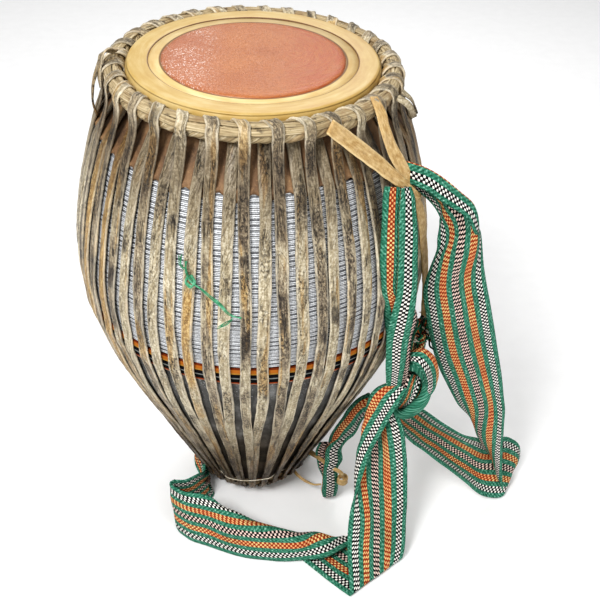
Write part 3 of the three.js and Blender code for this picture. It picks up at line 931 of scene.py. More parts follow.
def make_skirt():
    """The main skin's edge, turned down under the hoop, cut in shallow points at its hem."""
    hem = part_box("large_head_skin")[0].z
    columns, tooth, hide, middle_radius = 512, 7, 1.1 * MM, 130 * MM
    angles = np.arange(columns) * 2 * math.pi / columns
    teeth = np.abs(angles / LOOP_SPREAD % 1 - 0.5) * 2
    cut, fold = wavy(17), wavy(19, (9, 14, 22, 31, 45))
    bottom = hem + (tooth * teeth + 3 * cut(angles) - tooth) * MM
    fall_heights = [hem, HOOP_Z - 32 * MM, HOOP_Z - 18 * MM, HOOP_Z]
    fall_radii = [cover_radius(hem)[0] + 0.6 * MM, 131 * MM, 119 * MM, 108 * MM]
    rows = []
    for share in np.linspace(0, 1, 16):
        z = (HOOP_Z - 3 * MM) * (1 - share) + bottom * share
        r = np.interp(z, fall_heights, fall_radii)
        on_cover = cover_radius(np.minimum(z, RIBBED_HIGH)) + 0.9 * MM
        r = np.where(z < hem + 2 * MM, np.maximum(r, on_cover), r)
        rows.append(polar(r + share * MM * fold(angles), angles, z))
    outer = np.array(rows)
    inner = outer[::-1].copy()
    inner[..., :2] *= 1 - hide / middle_radius
    pile = Pile()
    pile.grid(np.concatenate([outer, inner]), closed_rows=True, closed_columns=True)
    place_piece(pile.make("large_head_skirt", SKIRT), "head_skin", "large_head_skin")


def twisted_hoop(name, radius, tube, height, strands, turns, seed, flats=0):
    """A hoop of rawhide strands laid round each other like a rope, with flat ones over its top."""
    rng = np.random.default_rng(seed)
    columns, count = 14, 480
    angles = np.arange(count) * 2 * math.pi / count
    pile = Pile()
    for k in range(strands + flats):
        flat = k >= strands
        uneven = wavy(seed + k, (3, 7, 12, 19, 33))(angles)
        if flat:
            drift = 0.28 * wavy(seed + 50 + k, (2, 5, 9, 15))(angles)
            lay = math.radians(38 + 34 * (k - strands)) + drift
            reach = tube * (0.97 + 0.05 * uneven)
            wide, thick = tube * 0.36, tube * 0.13
        else:
            lay = turns * angles + 2 * math.pi * k / strands + 0.25 * uneven
            reach = tube * (0.56 + 0.06 * uneven)
            wide, thick = tube * 0.6, tube * 0.38
        radial, lift = np.cos(lay), np.sin(lay)
        centre = polar(radius + reach * radial, angles, height + reach * lift)
        tangent = unit(np.roll(centre, -1, 0) - np.roll(centre, 1, 0))
        away = unit(polar(radial, angles, lift))
        side = unit(np.cross(tangent, away))
        ring = np.zeros((count, columns, 3))
        half = wide * (1 + 0.22 * wavy(seed + 9 * k, (5, 11, 23, 41))(angles))
        for j in range(columns):
            a = 2 * math.pi * j / columns
            dent = 1 + 0.12 * np.sin(3 * a + 5 * uneven) + 0.06 * rng.uniform(-1, 1)
            ring[:, j] = (centre + side * (half * math.cos(a) * dent)[:, None]
                          + away * (thick * math.sin(a) * dent)[:, None])
        around = np.arange(columns) / columns * 30 * MM
        pile.grid(ring, closed_rows=True, closed_columns=True, across=around[None, :],
                  along=(angles * radius)[:, None], seed=float(k))
    return pile.make(name, HOOP)


# ---------------------------------------------------------------- lacing

# How far a strand is from the middle of its bight, as a share of the room for one bight.
STRAND_HEIGHTS = np.array([26, 150, 280, 400, 446]) * MM
STRAND_SHARES = np.array([0.41, 0.35, 0.265, 0.235, 0.20])


def strand_path(side, centre, rng):
    """One strand of a bight, from the foot up to the large hoop: its points, the directions it
    faces and its angles. side is 1 for the outer strand and -1 for the one that turns back."""
    heights = np.linspace(STRAND_HEIGHTS[0], STRAND_HEIGHTS[-1], 60)
    radius = cover_radius(heights) + 2.5 * MM
    wander = 0.010 * ripple(rng, heights, 70 * MM) * np.clip((0.45 - heights) / 0.1, 0, 1)
    share = smooth(STRAND_HEIGHTS, STRAND_SHARES, heights)
    angle = centre + side * LOOP_SPREAD * share + wander
    out_tilt = np.gradient(radius, heights)
    out = unit(polar(1.0, angle, -out_tilt))
    lift = (2.0 * MM if side > 0 else -0.2 * MM) * np.clip((0.2 - heights) / 0.1, 0, 1)
    points = polar(radius + lift, angle, heights)
    return points, out, angle


def foot_turn(angle, lift, count=9):
    """The strand's end round the small hoop: up inside it, under it and out."""
    reach = FOOT_TUBE + 1.2 * MM + lift
    tilts = np.linspace(math.radians(-200), math.radians(-5), count)
    points = polar(FOOT_RADIUS + reach * np.cos(tilts), angle, FOOT_Z + reach * np.sin(tilts))
    out = polar(np.cos(tilts), angle, np.sin(tilts))
    return points, out


def bight_turn(start, end, count=15):
    """Over the large hoop from one strand's angle to the other's, and back out below it."""
    reach = HOOP_TUBE + 2.2 * MM
    tilts = np.linspace(-0.25, 3.35, count)
    angle = start + (end - start) * np.clip((np.linspace(0, 1, count) - 0.35) / 0.5, 0, 1)
    over = polar(HOOP_RADIUS + reach * np.cos(tilts), angle, HOOP_Z + reach * np.sin(tilts))
    back = polar(np.array([118.5, 126.5, 134.5]) * MM, end, np.array([480, 469, 458]) * MM)
    back_out = unit(polar(np.array([-0.9, -0.5, -0.75]), end, np.array([-0.3, -0.85, -0.6])))
    out = np.concatenate([polar(np.cos(tilts), angle, np.sin(tilts)), back_out])
    return np.concatenate([over, back]), out


def lace_route(centre, rng):
    """A bight from end to end: its line, the directions it faces, the distance along it and
    which of its points have turned back over the hoop."""
    outer, outer_out, outer_angle = strand_path(1, centre, rng)
    inner, inner_out, inner_angle = strand_path(-1, centre, rng)
    turn, turn_out = bight_turn(outer_angle[-1], inner_angle[-1])
    outer_foot, outer_foot_out = foot_turn(outer_angle[0], 0.8 * MM)
    inner_foot, inner_foot_out = foot_turn(inner_angle[0], 0.0)
    points = np.concatenate([outer_foot, outer, turn, inner[::-1], inner_foot[::-1]])
    outs = np.concatenate([outer_foot_out, outer_out, turn_out, -inner_out[::-1], -inner_foot_out[::-1]])
    along = lengths(points)
    even = np.linspace(0, along[-1], int(along[-1] / (3.2 * MM)))
    line = smooth(along, points, even)
    face = unit(np.stack([np.interp(even, along, outs[:, k]) for k in range(3)], 1))
    top_of_hoop = len(outer_foot) + len(outer) + 9
    return line, face, even, even > along[top_of_hoop]


def make_lacing():
    """One flat lace per bight, each with its own width, tone, wander and roll."""
    for i in range(LOOP_COUNT):
        rng = np.random.default_rng(100 + i)
        centre = (i + 0.5) * LOOP_SPREAD + rng.uniform(-0.012, 0.012)
        line, face, even, turned_back = lace_route(centre, rng)
        roll = 0.16 * ripple(rng, even, 60 * MM)
        tangent = unit(np.gradient(line, axis=0))
        face = unit(face + np.cross(tangent, face) * roll[:, None])
        narrowed = np.interp(line[:, 2], [0.0, 0.03, 0.13, 0.24], [0.46, 0.54, 0.82, 1.0])
        width = LACE_WIDTH * narrowed * (1 + 0.09 * ripple(rng, even, 40 * MM)) * rng.uniform(0.93, 1.05)
        thickness = LACE_THICKNESS * (1 + 0.2 * ripple(rng, even, 25 * MM))
        rows, across, distance = strap_rows(line, face, width, thickness, rng)
        outer_tone = rng.uniform(0.55, 1.0)
        inner_tone = rng.choice([-0.1, 0.25, 0.35, 0.55], p=[0.3, 0.25, 0.25, 0.2])
        tone = np.where(turned_back, inner_tone, outer_tone) + 0.12 * ripple(rng, even, 120 * MM)
        pile = Pile()
        pile.grid(rows, closed_columns=True, ends=True, across=across, along=distance[:, None],
                  seed=0.37 * i, tone=tone[:, None])
        number = f"{i + 1:02d}"
        piece = pile.make(f"lace_{number}", LACING)
        place_piece(piece, "lacing_rawhide", f"lacing_loop_{number}")


# ---------------------------------------------------------------- woven sling

# The sling is one long band. Each run is a list of cross-sections in millimetres, each from
# one selvedge to the other, and neighbouring runs share the section where they meet.
INNER_RUN = [
    [(112, -109, 440), (107, -116, 444), (121, -109, 439),
     (126, -106, 438), (120, -113, 441), (129, -106, 438)],
    [(111, -111, 432), (106, -118, 436), (121, -111, 431),
     (126, -108, 429), (120, -115, 433), (133, -108, 429)],
    [(111, -114, 421), (106, -121, 426), (121, -114, 420),
     (126, -111, 419), (120, -118, 422), (135, -111, 419)],
    [(112, -116, 394), (107, -123, 398), (124, -116, 393),
     (128, -113, 391), (122, -120, 395), (139, -113, 391)],
    [(115, -118, 365), (109, -125, 370), (126, -118, 364),
     (131, -115, 362), (124, -122, 366), (142, -115, 362)],
    [(117, -118, 340), (112, -125, 346), (127, -118, 339),
     (132, -115, 337), (125, -122, 341), (144, -115, 337)],
    [(132, -112, 312), (117, -118, 316), (146, -113, 312),
     (138, -117, 315), (123, -122, 318), (144, -119, 315)],
    [(135, -107, 276), (123, -113, 280), (146, -109, 277),
     (137, -113, 280), (122, -118, 283), (143, -115, 280)],
    [(139, -100, 237), (128, -106, 242), (149, -103, 238),
     (141, -107, 241), (126, -112, 244), (144, -109, 241)],
    [(142, -92, 206), (133, -98, 211), (151, -95, 207),
     (143, -99, 210), (130, -104, 213), (145, -101, 210)],
]
OUTER_RUN = [
    [(128, -74, 421), (129, -75, 428), (127, -78, 437), (127, -86, 449), (127, -92, 434)],
    [(148, -74, 410), (145, -76, 422), (142, -81, 434), (142, -90, 446), (144, -97, 429)],
    [(163, -80, 393), (162, -80, 405), (160, -83, 419), (161, -92, 435), (157, -98, 420)],
    [(164, -80, 382), (166, -80, 393), (169, -84, 408), (175, -92, 423), (171, -98, 411)],
    [(164, -80, 370), (172, -81, 382), (178, -86, 397), (187, -93, 412), (182, -98, 403)],
    [(165, -80, 358), (174, -83, 369), (183, -87, 381), (194, -93, 395), (192, -97, 386)],
    [(161, -82, 340), (172, -88, 354), (185, -91, 364), (197, -90, 369), (202, -74, 375)],
    [(158, -82, 315), (171, -87, 323), (184, -89, 330), (198, -87, 335), (211, -78, 337)],
    [(164, -80, 284), (179, -84, 289), (194, -86, 293), (209, -84, 296), (223, -80, 297)],
    [(180, -72, 227), (194, -77, 232), (210, -79, 236), (226, -76, 238), (241, -72, 239)],
    [(198, -66, 184), (212, -71, 187), (227, -73, 188), (242, -70, 186), (257, -66, 184)],
    [(220, -56, 140), (229, -66, 145), (241, -69, 147), (254, -68, 146), (267, -64, 143)],
    [(258, -40, 86), (247, -57, 94), (252, -67, 103), (263, -68, 104), (273, -63, 100)],
    [(284, -30, 42), (272, -50, 50), (271, -61, 58), (275, -65, 60), (279, -63, 61)],
    [(296, -18, 28), (288, -33, 28), (283, -47, 24), (283, -57, 22), (286, -63, 20)],
    [(317, -19, 18), (311, -29, 14), (304, -40, 10), (297, -51, 6), (291, -62, 2.2)],
]
RETURN_RUN = [
    OUTER_RUN[-1],
    [(313, -21, 36), (309, -32, 27), (303, -43, 18), (296, -55, 9), (290, -65, 2.2)],
    [(298, -22, 52), (295, -33, 40), (290, -45, 28), (286, -58, 15), (283, -69, 3)],
    [(270, -36, 62), (267, -41, 47), (261, -47, 32), (262, -61, 20), (262, -73, 12)],
    [(251, -47, 78), (247, -47, 65), (240, -48, 50), (239, -61, 42), (239, -76, 37)],
    [(229, -58, 96), (223, -52, 86), (213, -50, 72), (211, -64, 68), (212, -79, 66)],
    [(203, -65, 121), (196, -59, 112), (186, -56, 100), (184, -70, 98), (184, -85, 98)],
    [(178, -72, 148), (171, -66, 140), (162, -64, 128), (160, -77, 127), (160, -91, 127)],
    [(156, -82, 170), (152, -78, 164), (146, -76, 158), (145, -84, 156), (146, -93, 154)],
]
FRONT_RUN = [
    [(150, -106, 210), (140, -98, 212), (141, -92, 204), (144, -92, 198), (148, -92, 194)],
    [(144, -112, 200), (122, -104, 209), (130, -96, 200), (138, -95, 192), (146, -97, 184)],
    [(137, -112, 180), (113, -105, 184), (126, -96, 176), (138, -98, 171), (147, -99, 168)],
    [(131, -112, 160), (111, -106, 160), (126, -95, 157), (141, -104, 155), (152, -100, 154)],
    [(122, -115, 136), (109, -109, 132), (128, -100, 129), (143, -110, 131), (157, -105, 131)],
    [(112, -124, 100), (106, -118, 96), (128, -112, 88), (145, -119, 92), (162, -113, 91)],
    [(101, -142, 61), (116, -140, 56), (132, -134, 50), (147, -136, 50), (163, -130, 49)],
    [(100, -166, 24), (116, -161, 22), (131, -155, 20), (148, -152, 19), (163, -146, 19)],
    [(101, -188, 7), (116, -178, 8), (131, -168, 8), (147, -159, 8), (162, -150, 9)],
    [(101, -197, 3.4), (116, -185, 3.4), (131, -174, 3.4), (146, -162, 3.4), (161, -151, 3.4)],
]
FLOOR_RUN = [
    FRONT_RUN[-1],
    [(92, -188, 1.5), (106, -174, 1.5), (120, -162, 1.5), (134, -150, 1.5), (147, -139, 2)],
    [(78, -175, 1.5), (92, -160, 1.5), (104, -146, 2), (114, -135, 6), (122, -130, 13)],
    [(66, -163, 1.5), (82, -146, 2), (94, -132, 5), (101, -131, 14), (104, -141, 12)],
    [(53, -150, 1.5), (62, -135, 3), (70, -127, 12), (76, -136, 23), (79, -154, 10)],
    [(41, -138, 4), (42, -130, 10), (45, -131, 22), (50, -143, 29), (53, -152, 3)],
    [(22, -132, 14), (22, -129, 28), (25, -138, 37), (27, -148, 20), (28, -152, 1.6)],
    [(8, -128, 24), (8, -130, 37), (10, -140, 44), (11, -147, 24), (12, -150, 1.6)],
    [(-25, -119, 44), (-23, -124, 51), (-22, -131, 45), (-22, -138, 25), (-22, -142, 1.6)],
    [(-47, -110, 58), (-47, -115, 54), (-47, -121, 40), (-47, -127, 22), (-47, -132, 1.6)],
    [(-76, -103, 59), (-75, -108, 48), (-74, -112, 34), (-72, -117, 18), (-71, -120, 1.6)],
    [(-89, -91, 58), (-88, -95, 46), (-86, -98, 32), (-84, -102, 16), (-82, -105, 1.6)],
    [(-84, -86, 57), (-84, -87, 44), (-82, -88, 30), (-78, -90, 15), (-74, -92, 1.6)],
]
FOOT_LEAD = [
    FLOOR_RUN[-1],
    [(-72, -86, 56), (-70, -84, 43), (-67, -82, 29), (-62, -79, 15), (-57, -77, 1.6)],
    [(-60, -76, 54), (-58, -73, 42), (-54, -69, 28), (-50, -65, 14), (-45, -61, 1.6)],
]
LOOP_FRONT = [
    [(91, -59, 3), (87, -61, 2), (81, -68, 6), (88, -72, 11), (95, -66, 6)],
    [(90, -60, 9), (85, -62, 10), (79, -70, 18), (88, -75, 22), (96, -69, 18)],
    [(90, -62, 20), (85, -64, 22), (79, -71, 30), (88, -76, 34), (96, -70, 29)],
    [(89, -62, 33), (85, -64, 35), (79, -71, 43), (87, -76, 47), (95, -70, 42)],
    [(89, -62, 46), (85, -64, 48), (79, -71, 56), (86, -76, 60), (94, -70, 55)],
    [(91, -62, 61), (86, -64, 64), (80, -71, 71), (89, -76, 74), (98, -70, 70)],
    [(90, -62, 76), (86, -64, 78), (80, -71, 86), (88, -76, 89), (96, -70, 85)],
    [(83, -64, 93), (86, -70, 104), (91, -75, 110), (96, -75, 109), (101, -71, 100)],
    [(87, -67, 113), (91, -73, 123), (97, -78, 127), (103, -78, 122), (107, -73, 110)],
    [(94, -71, 135), (98, -77, 142), (103, -82, 143), (107, -81, 134), (110, -77, 123)],
    [(100, -75, 155), (104, -81, 159), (108, -86, 159), (110, -85, 150), (113, -81, 139)],
    [(109, -78, 171), (112, -84, 174), (114, -88, 169), (116, -87, 159), (116, -83, 147)],
    [(118, -80, 180), (120, -86, 180), (122, -89, 173), (123, -88, 162), (122, -84, 149)],
]
LOOP_BACK = [
    [(84, -58, 5), (87, -60, 6), (91, -57, 3)],
    [(83, -57, 19), (86, -60, 22), (91, -57, 18)],
    [(79, -58, 31), (83, -61, 34), (88, -58, 31)],
    [(74, -59, 45), (79, -62, 48), (85, -59, 45)],
    [(72, -57, 55), (78, -61, 58), (85, -59, 58)],
    [(70, -57, 69), (77, -61, 73), (86, -60, 73)],
    [(73, -60, 86), (79, -64, 90), (88, -62, 88)],
]
# The knot: a loop of two layers on the right, the throat inside it, its dark core and a tail.
KNOT_OUTER_LAYER = [
    [(145, -82, 222), (144, -90, 232), (144, -96, 236), (145, -97, 233), (146, -94, 229)],
    [(149, -82, 229), (148, -90, 240), (148, -96, 243), (148, -97, 240), (150, -94, 234)],
    [(153, -90, 242), (153, -98, 252), (151, -104, 253), (152, -106, 248), (153, -102, 241)],
    [(162, -94, 246), (161, -102, 257), (159, -108, 256), (157, -110, 250), (156, -106, 241)],
    [(169, -95, 240), (170, -103, 251), (166, -109, 249), (163, -111, 243), (161, -107, 235)],
    [(176, -94, 225), (177, -102, 236), (172, -109, 236), (168, -110, 231), (165, -106, 225)],
    [(179, -92, 208), (180, -100, 220), (175, -107, 221), (171, -108, 218), (168, -104, 214)],
    [(179, -90, 194), (179, -98, 206), (176, -105, 208), (172, -106, 207), (169, -102, 203)],
    [(175, -88, 180), (175, -96, 190), (172, -102, 194), (169, -103, 195), (166, -98, 192)],
]
KNOT_SECOND_LAYER = [
    [(147, -84, 219), (147, -91, 223), (148, -93, 221), (149, -92, 218), (152, -86, 208)],
    [(152, -88, 235), (150, -95, 238), (150, -97, 235), (151, -96, 230), (153, -91, 220)],
    [(161, -92, 235), (158, -99, 239), (157, -101, 236), (156, -100, 232), (157, -94, 222)],
    [(170, -94, 224), (167, -101, 230), (164, -103, 229), (163, -102, 226), (163, -96, 217)],
    [(176, -95, 209), (172, -102, 216), (170, -104, 217), (168, -103, 216), (167, -97, 209)],
    [(176, -96, 194), (173, -104, 202), (170, -106, 204), (167, -105, 203), (166, -98, 197)],
    [(174, -96, 180), (170, -105, 188), (167, -107, 191), (163, -106, 193), (162, -98, 188)],
    [(167, -95, 166), (163, -104, 176), (160, -106, 180), (156, -105, 183), (155, -97, 179)],
    [(156, -91, 154), (152, -100, 166), (150, -102, 170), (148, -101, 174), (148, -94, 171)],
    [(146, -90, 156), (143, -98, 165), (142, -100, 170), (141, -99, 174), (142, -92, 172)],
]
KNOT_THROAT = [
    [(153, -86, 214), (155, -92, 218), (160, -91, 214), (163, -92, 213), (169, -87, 205)],
    [(149, -92, 213), (152, -98, 217), (157, -97, 212), (161, -98, 211), (166, -94, 202)],
    [(147, -95, 206), (150, -101, 209), (155, -100, 204), (159, -101, 203), (164, -96, 194)],
    [(146, -95, 195), (148, -102, 199), (153, -101, 193), (156, -101, 192), (161, -96, 182)],
    [(144, -92, 180), (146, -99, 184), (149, -98, 179), (152, -98, 178), (157, -93, 168)],
    [(144, -86, 166), (145, -93, 170), (147, -92, 165), (149, -93, 164), (153, -87, 155)],
]
KNOT_CORE = [
    [(136, -78, 222), (140, -89, 232), (147, -86, 229), (153, -89, 231), (161, -78, 221)],
    [(138, -76, 203), (145, -87, 212), (155, -84, 209), (164, -87, 211), (176, -78, 200)],
    [(139, -76, 180), (147, -87, 190), (158, -84, 187), (167, -87, 189), (178, -78, 178)],
    [(139, -76, 161), (146, -87, 171), (156, -84, 167), (163, -86, 169), (172, -78, 160)],
    [(139, -76, 148), (144, -86, 157), (152, -83, 153), (157, -86, 154), (163, -78, 146)],
]
KNOT_TAIL = [
    [(146, -82, 206), (150, -88, 208), (155, -82, 210), (160, -88, 208), (165, -80, 206)],
    [(150, -68, 228), (154, -77, 228), (160, -68, 230), (165, -76, 229), (172, -64, 227)],
    [(155, -62, 246), (157, -72, 247), (163, -63, 249), (167, -70, 247), (173, -58, 244)],
    [(158, -60, 262), (161, -69, 264), (166, -61, 265), (170, -66, 263), (176, -56, 259)],
]
SLING_COLUMNS = 33


def even_section(points, marks):
    """A given section as a smooth curve. marks are the distances across the band, in
    millimetres from its middle, at the section's points, or at its two ends only."""
    points = np.array(points, float) * MM
    chords = lengths(points)
    fine = np.linspace(0, chords[-1], 150)
    dense = smooth(chords, points, fine)
    along = lengths(dense)
    ends = chords if len(marks) == len(chords) else chords[[0, -1]]
    columns = np.linspace(marks[0], marks[-1], SLING_COLUMNS)
    wanted = np.interp(columns, marks, np.interp(ends, fine, along))
    return np.stack([np.interp(wanted, along, dense[:, k]) for k in range(3)], 1)


def add_band(pile, stations, seed, marks, wrinkle):
    """Adds a run of the sling to a pile, as cloth with both faces and bumpy selvedges. marks is
    for every section, or a list with one for each, all with the same two ends."""
    rng = np.random.default_rng(seed)
    marks = marks if isinstance(marks, list) else [marks] * len(stations)
    sections = np.array([even_section(*pair) for pair in zip(stations, marks)])
    along = lengths(sections.mean(1))
    fine = np.linspace(0, along[-1], max(int(along[-1] / (1.1 * MM)), 8))
    sheet = smooth(along, sections.reshape(len(stations), -1), fine).reshape(len(fine), SLING_COLUMNS, 3)
    share = np.linspace(-1, 1, SLING_COLUMNS)
    lengthways, crossways = np.gradient(sheet, axis=0), np.gradient(sheet, axis=1)
    normal = unit(np.cross(crossways, lengthways))
    waves = 0.0
    for k in (1, 2, 4):
        swing = ripple(rng, fine, 22 * MM)
        waves = waves + swing[:, None] * np.cos(k * math.pi * share / 2 + rng.uniform(0, 6))
    sheet = sheet + normal * (wrinkle * MM * waves)[..., None]
    steps = np.linalg.norm(np.diff(sheet, axis=0), axis=2)
    run = np.concatenate([np.zeros((1, SLING_COLUMNS)), np.cumsum(steps, 0)]) + 0.31 * seed
    scallop = 0.35 * MM * np.abs(np.sin(run * math.pi / (2.35 * MM)))
    outward = unit(crossways)
    sheet[:, 0] -= outward[:, 0] * scallop[:, :1]
    sheet[:, -1] += outward[:, -1] * scallop[:, -1:]
    half = SLING_THICKNESS / 2 * np.where(np.abs(share) > 0.97, 0.45, 1.0)[None, :, None]
    rows = np.concatenate([sheet + normal * half, (sheet - normal * half)[:, ::-1]], 1)
    across = np.linspace(marks[0][0], marks[0][-1], SLING_COLUMNS) * MM
    both_across = np.concatenate([across, across[::-1]])
    both_along = np.concatenate([run, run[:, ::-1]], 1)
    pile.grid(rows, closed_columns=True, ends=True, across=both_across[None, :], along=both_along)


def sling_piece(part, runs, seed, wrinkle=0.5):
    """runs are (stations, marks) pairs."""
    pile = Pile()
    for k, (stations, marks) in enumerate(runs):
        add_band(pile, stations, seed + k, marks, wrinkle)
    node = "sling_knot" if part == "knot" else f"sling_{part}_run"
    piece = place_piece(pile.make(f"sling_{part}_cloth", WEAVE), "sling_weave", node)


# Sections of the run behind the foot, each point its distance from the axis and its height:
# where the band stands up at the start of the run, and where it lies folded round the foot.
STANDING = np.array([(74, 34), (77, 29), (69, 24), (77, 18), (68, 13), (77, 8), (67, 4.5), (76, 1.8)])
LYING = np.array([(63, 28), (67, 24), (62, 20), (68, 16), (62, 12), (68, 8), (62, 4.5), (69, 1.8)])


def foot_stations():
    """The run behind the foot: gathered low round it, in soft folds."""
    stations = list(FOOT_LEAD)
    for degrees in np.linspace(224, -2, 15):
        angle = math.radians(degrees)
        stand = np.interp(degrees, [208, 224], [0.0, 1.0])
        section = STANDING * stand + LYING * (1 - stand)
        section[1, 0] += math.sin(5 * angle) * (1 - stand)
        stations.append([(r * math.cos(angle), r * math.sin(angle), z) for r, z in section])
    return stations


# How far across the band, in mm from its middle, the points of each run's sections lie.
WIDE = (-31, 31)
INNER_MARKS = (-31, -19, -2, 5, 15, 31)
FOLDED = (-31, -16, -1, 14.5, 31)
OUTER_MARKS = [FOLDED] * 6 + [WIDE] * (len(OUTER_RUN) - 6)
LOOP_MARKS = (3, 8, 14.5, 24, 31)
LOOP_BACK_MARKS = (-6, 0, 6)
OUTER_LAYER_MARKS = (3, 9, 17, 25, 31)
SECOND_LAYER_MARKS = (26.6, 28, 29.5, 30.5, 31)
THROAT_MARKS = (-6, 2, 12, 24, 31)


def make_sling():
    """Each run of the band."""
    sling_piece("inner", [(INNER_RUN, INNER_MARKS)], 1)
    sling_piece("outer", [(OUTER_RUN, OUTER_MARKS)], 2)
    sling_piece("return", [(RETURN_RUN, WIDE)], 3)
    sling_piece("front", [(FRONT_RUN, WIDE)], 4)
    sling_piece("floor", [(FLOOR_RUN, WIDE)], 5)
    sling_piece("foot", [(foot_stations(), WIDE)], 6, wrinkle=0.6)
    sling_piece("lower", [(LOOP_FRONT, LOOP_MARKS), (LOOP_BACK, LOOP_BACK_MARKS)],
                7, 0.3)
    layers = [(KNOT_OUTER_LAYER, OUTER_LAYER_MARKS), (KNOT_SECOND_LAYER, SECOND_LAYER_MARKS),
              (KNOT_THROAT, THROAT_MARKS), (KNOT_CORE, WIDE), (KNOT_TAIL, WIDE)]
    sling_piece("knot", layers, 8, wrinkle=0.3)


# ---------------------------------------------------------------- rawhide ties and small things

def flat_lace(pile, points, width, seed, outward, twist=0.0, thickness=1.7 * MM, taper=(1, 1), tone=0.2):
    """A loose flat lace through given points in millimetres; its face looks along `outward`."""
    rng = np.random.default_rng(seed)
    line = route(np.array(points, float) * MM, 2.5 * MM)
    along = lengths(line)
    tangent = unit(np.gradient(line, axis=0))
    face = unit(np.broadcast_to(np.array(outward, float), line.shape))
    turn = twist * along / along[-1] + 0.15 * ripple(rng, along, 30 * MM)
    face = unit(face * np.cos(turn)[:, None] + np.cross(tangent, face) * np.sin(turn)[:, None])
    share = smooth(np.linspace(0, along[-1], len(taper)), taper, along)
    widths = width * share * (1 + 0.06 * ripple(rng, along, 20 * MM))
    rows, across, distance = strap_rows(line, face, widths, thickness, rng)
    pile.grid(rows, closed_columns=True, ends=True, across=across, along=distance[:, None],
              seed=float(seed), tone=tone)


def add_curl(pile, points, centre, width, seed):
    """A flat lace that curls round an upright line, its face looking away from the line."""
    rng = np.random.default_rng(seed)
    line = np.array(points) * MM
    out = unit(line - np.array([centre[0] * MM, centre[1] * MM, 0]))
    out[:, 2] = 0
    rows, across, distance = strap_rows(line, unit(out), width, 1.2 * MM, rng, 0.1)
    pile.grid(rows, closed_columns=True, ends=True, across=across, along=distance[:, None],
              seed=float(seed), tone=0.2)


def make_spare_laces():
    """The lacing's loose end folded over the large hoop at its left, its tail, and two cut ends."""
    pile = Pile()
    flat_lace(pile, [(-118, -2, 506), (-124, -6, 509), (-128, -12, 508), (-130, -16, 500),
                     (-131, -19, 491), (-130, -22, 482)],
              10 * MM, 221, outward=(-0.8, -0.3, 0.6), twist=0.3, tone=0.6)
    flat_lace(pile, [(-130, -14, 503), (-135, -17, 490), (-138, -19, 477), (-138, -21, 465),
                     (-135, -24, 457)],
              4.5 * MM, 222, outward=(-0.8, -0.6, 0.1), twist=0.5, tone=0.8)
    flat_lace(pile, [(118, -62, 496), (128, -60, 488), (134, -57, 476)],
              5.5 * MM, 223, outward=(0.6, -0.7, 0.4), twist=0.7, tone=0.3)
    flat_lace(pile, [(124, -46, 494), (134, -42, 484), (139, -40, 472)],
              4.5 * MM, 224, outward=(0.8, -0.6, 0.2), twist=-0.9, tone=0.6)
    place_piece(pile.make("spare_laces", LACING), "lacing_rawhide")


def upper_strap(name, node, points, width, seed, outward, taper):
    """One strap of the upper tie. taper is its share of the width at even distances along it."""
    pile = Pile()
    flat_lace(pile, points, width, seed, outward, taper=taper)
    place_piece(pile.make(name, STRAP), "tie_rawhide", node)


def make_upper_tie():
    """A cut strap lying across the large hoop, one down from the hoop and a loose tail."""
    upper_strap("upper_strap", "upper_tie_cut_end",
                [(57, -134, 506), (74, -126, 489), (103, -113, 460), (128, -102, 434), (137, -98, 425),
                 (141, -90, 421)], 13 * MM, 201, (0.3, -0.72, 0.6), (0.9, 1.0, 1.0, 0.75, 0.35))
    upper_strap("upper_strap_hanger", "upper_tie_hanger",
                [(96, -76, 503), (101, -86, 496), (105, -92, 484), (112, -93, 467), (121, -93, 451),
                 (131, -92, 434), (136, -88, 426)],
                11.5 * MM, 202, (0.5, -0.7, 0.5), (0.7, 0.9, 1.0, 1.0, 0.8))
    upper_strap("upper_strap_tail", "upper_tie_tail",
                [(136, -88, 422), (143, -80, 404), (148, -74, 389), (154, -66, 362), (160, -61, 330),
                 (166, -58, 286), (168, -57, 252)],
                11 * MM, 203, (0.6, -0.8, 0.1), (0.5, 1.0, 0.8, 0.7, 0.6))


def make_lower_tie():
    """Two laces from the lacing to the sling's lower loop, two thin ones below, and a curled end."""
    pile = Pile()
    for k in range(2):
        flat_lace(pile, [(58, -34, 46 + 4 * k), (66, -50, 56 + 4 * k), (76, -64, 62 + 2 * k),
                         (87, -75, 62), (95, -78, 60 - 2 * k), (100, -77, 52 - 2 * k)],
                  3.2 * MM, 204 + k, outward=(0.3, -0.8, 0.5), thickness=1.4 * MM)
        flat_lace(pile, [(46, -40, 20 + 4 * k), (52, -50, 20 + 3 * k), (60, -56, 18 + 2 * k),
                         (70, -61, 18), (78, -62, 20)],
                  1.8 * MM, 208 + k, outward=(0.2, -0.8, 0.6), thickness=1.2 * MM)
    centre, top, first, last = (100, -73), 42, 200, 800
    turns = np.linspace(math.radians(first), math.radians(last), 26)
    radii = np.linspace(6.4, 3.6, 26)
    curl = [(centre[0] + r * math.cos(a), centre[1] + r * math.sin(a), top - 0.2 * a)
            for a, r in zip(turns, radii)]
    add_curl(pile, curl, centre, 8.5 * MM, 212)
    place_piece(pile.make("lower_strap", STRAP), "tie_rawhide", "lower_tie")


def tube(pile, points, radius, seed, sides=8, **attributes):
    """A thread of uneven thickness through points in millimetres."""
    rng = np.random.default_rng(seed)
    line = route(np.array(points, float) * MM, 1.2 * MM)
    along = lengths(line)
    tangent = unit(np.gradient(line, axis=0))
    side = unit(np.cross(tangent, (0.31, 0.22, 0.92)))
    other = np.cross(tangent, side)
    wide = radius * (1 + 0.15 * ripple(rng, along, 6 * MM))
    angles = np.arange(sides) * 2 * math.pi / sides
    rows = line[:, None] + (side[:, None] * np.cos(angles)[None, :, None]
                            + other[:, None] * np.sin(angles)[None, :, None]) * wide[:, None, None]
    pile.grid(rows, closed_columns=True, ends=True, **attributes)


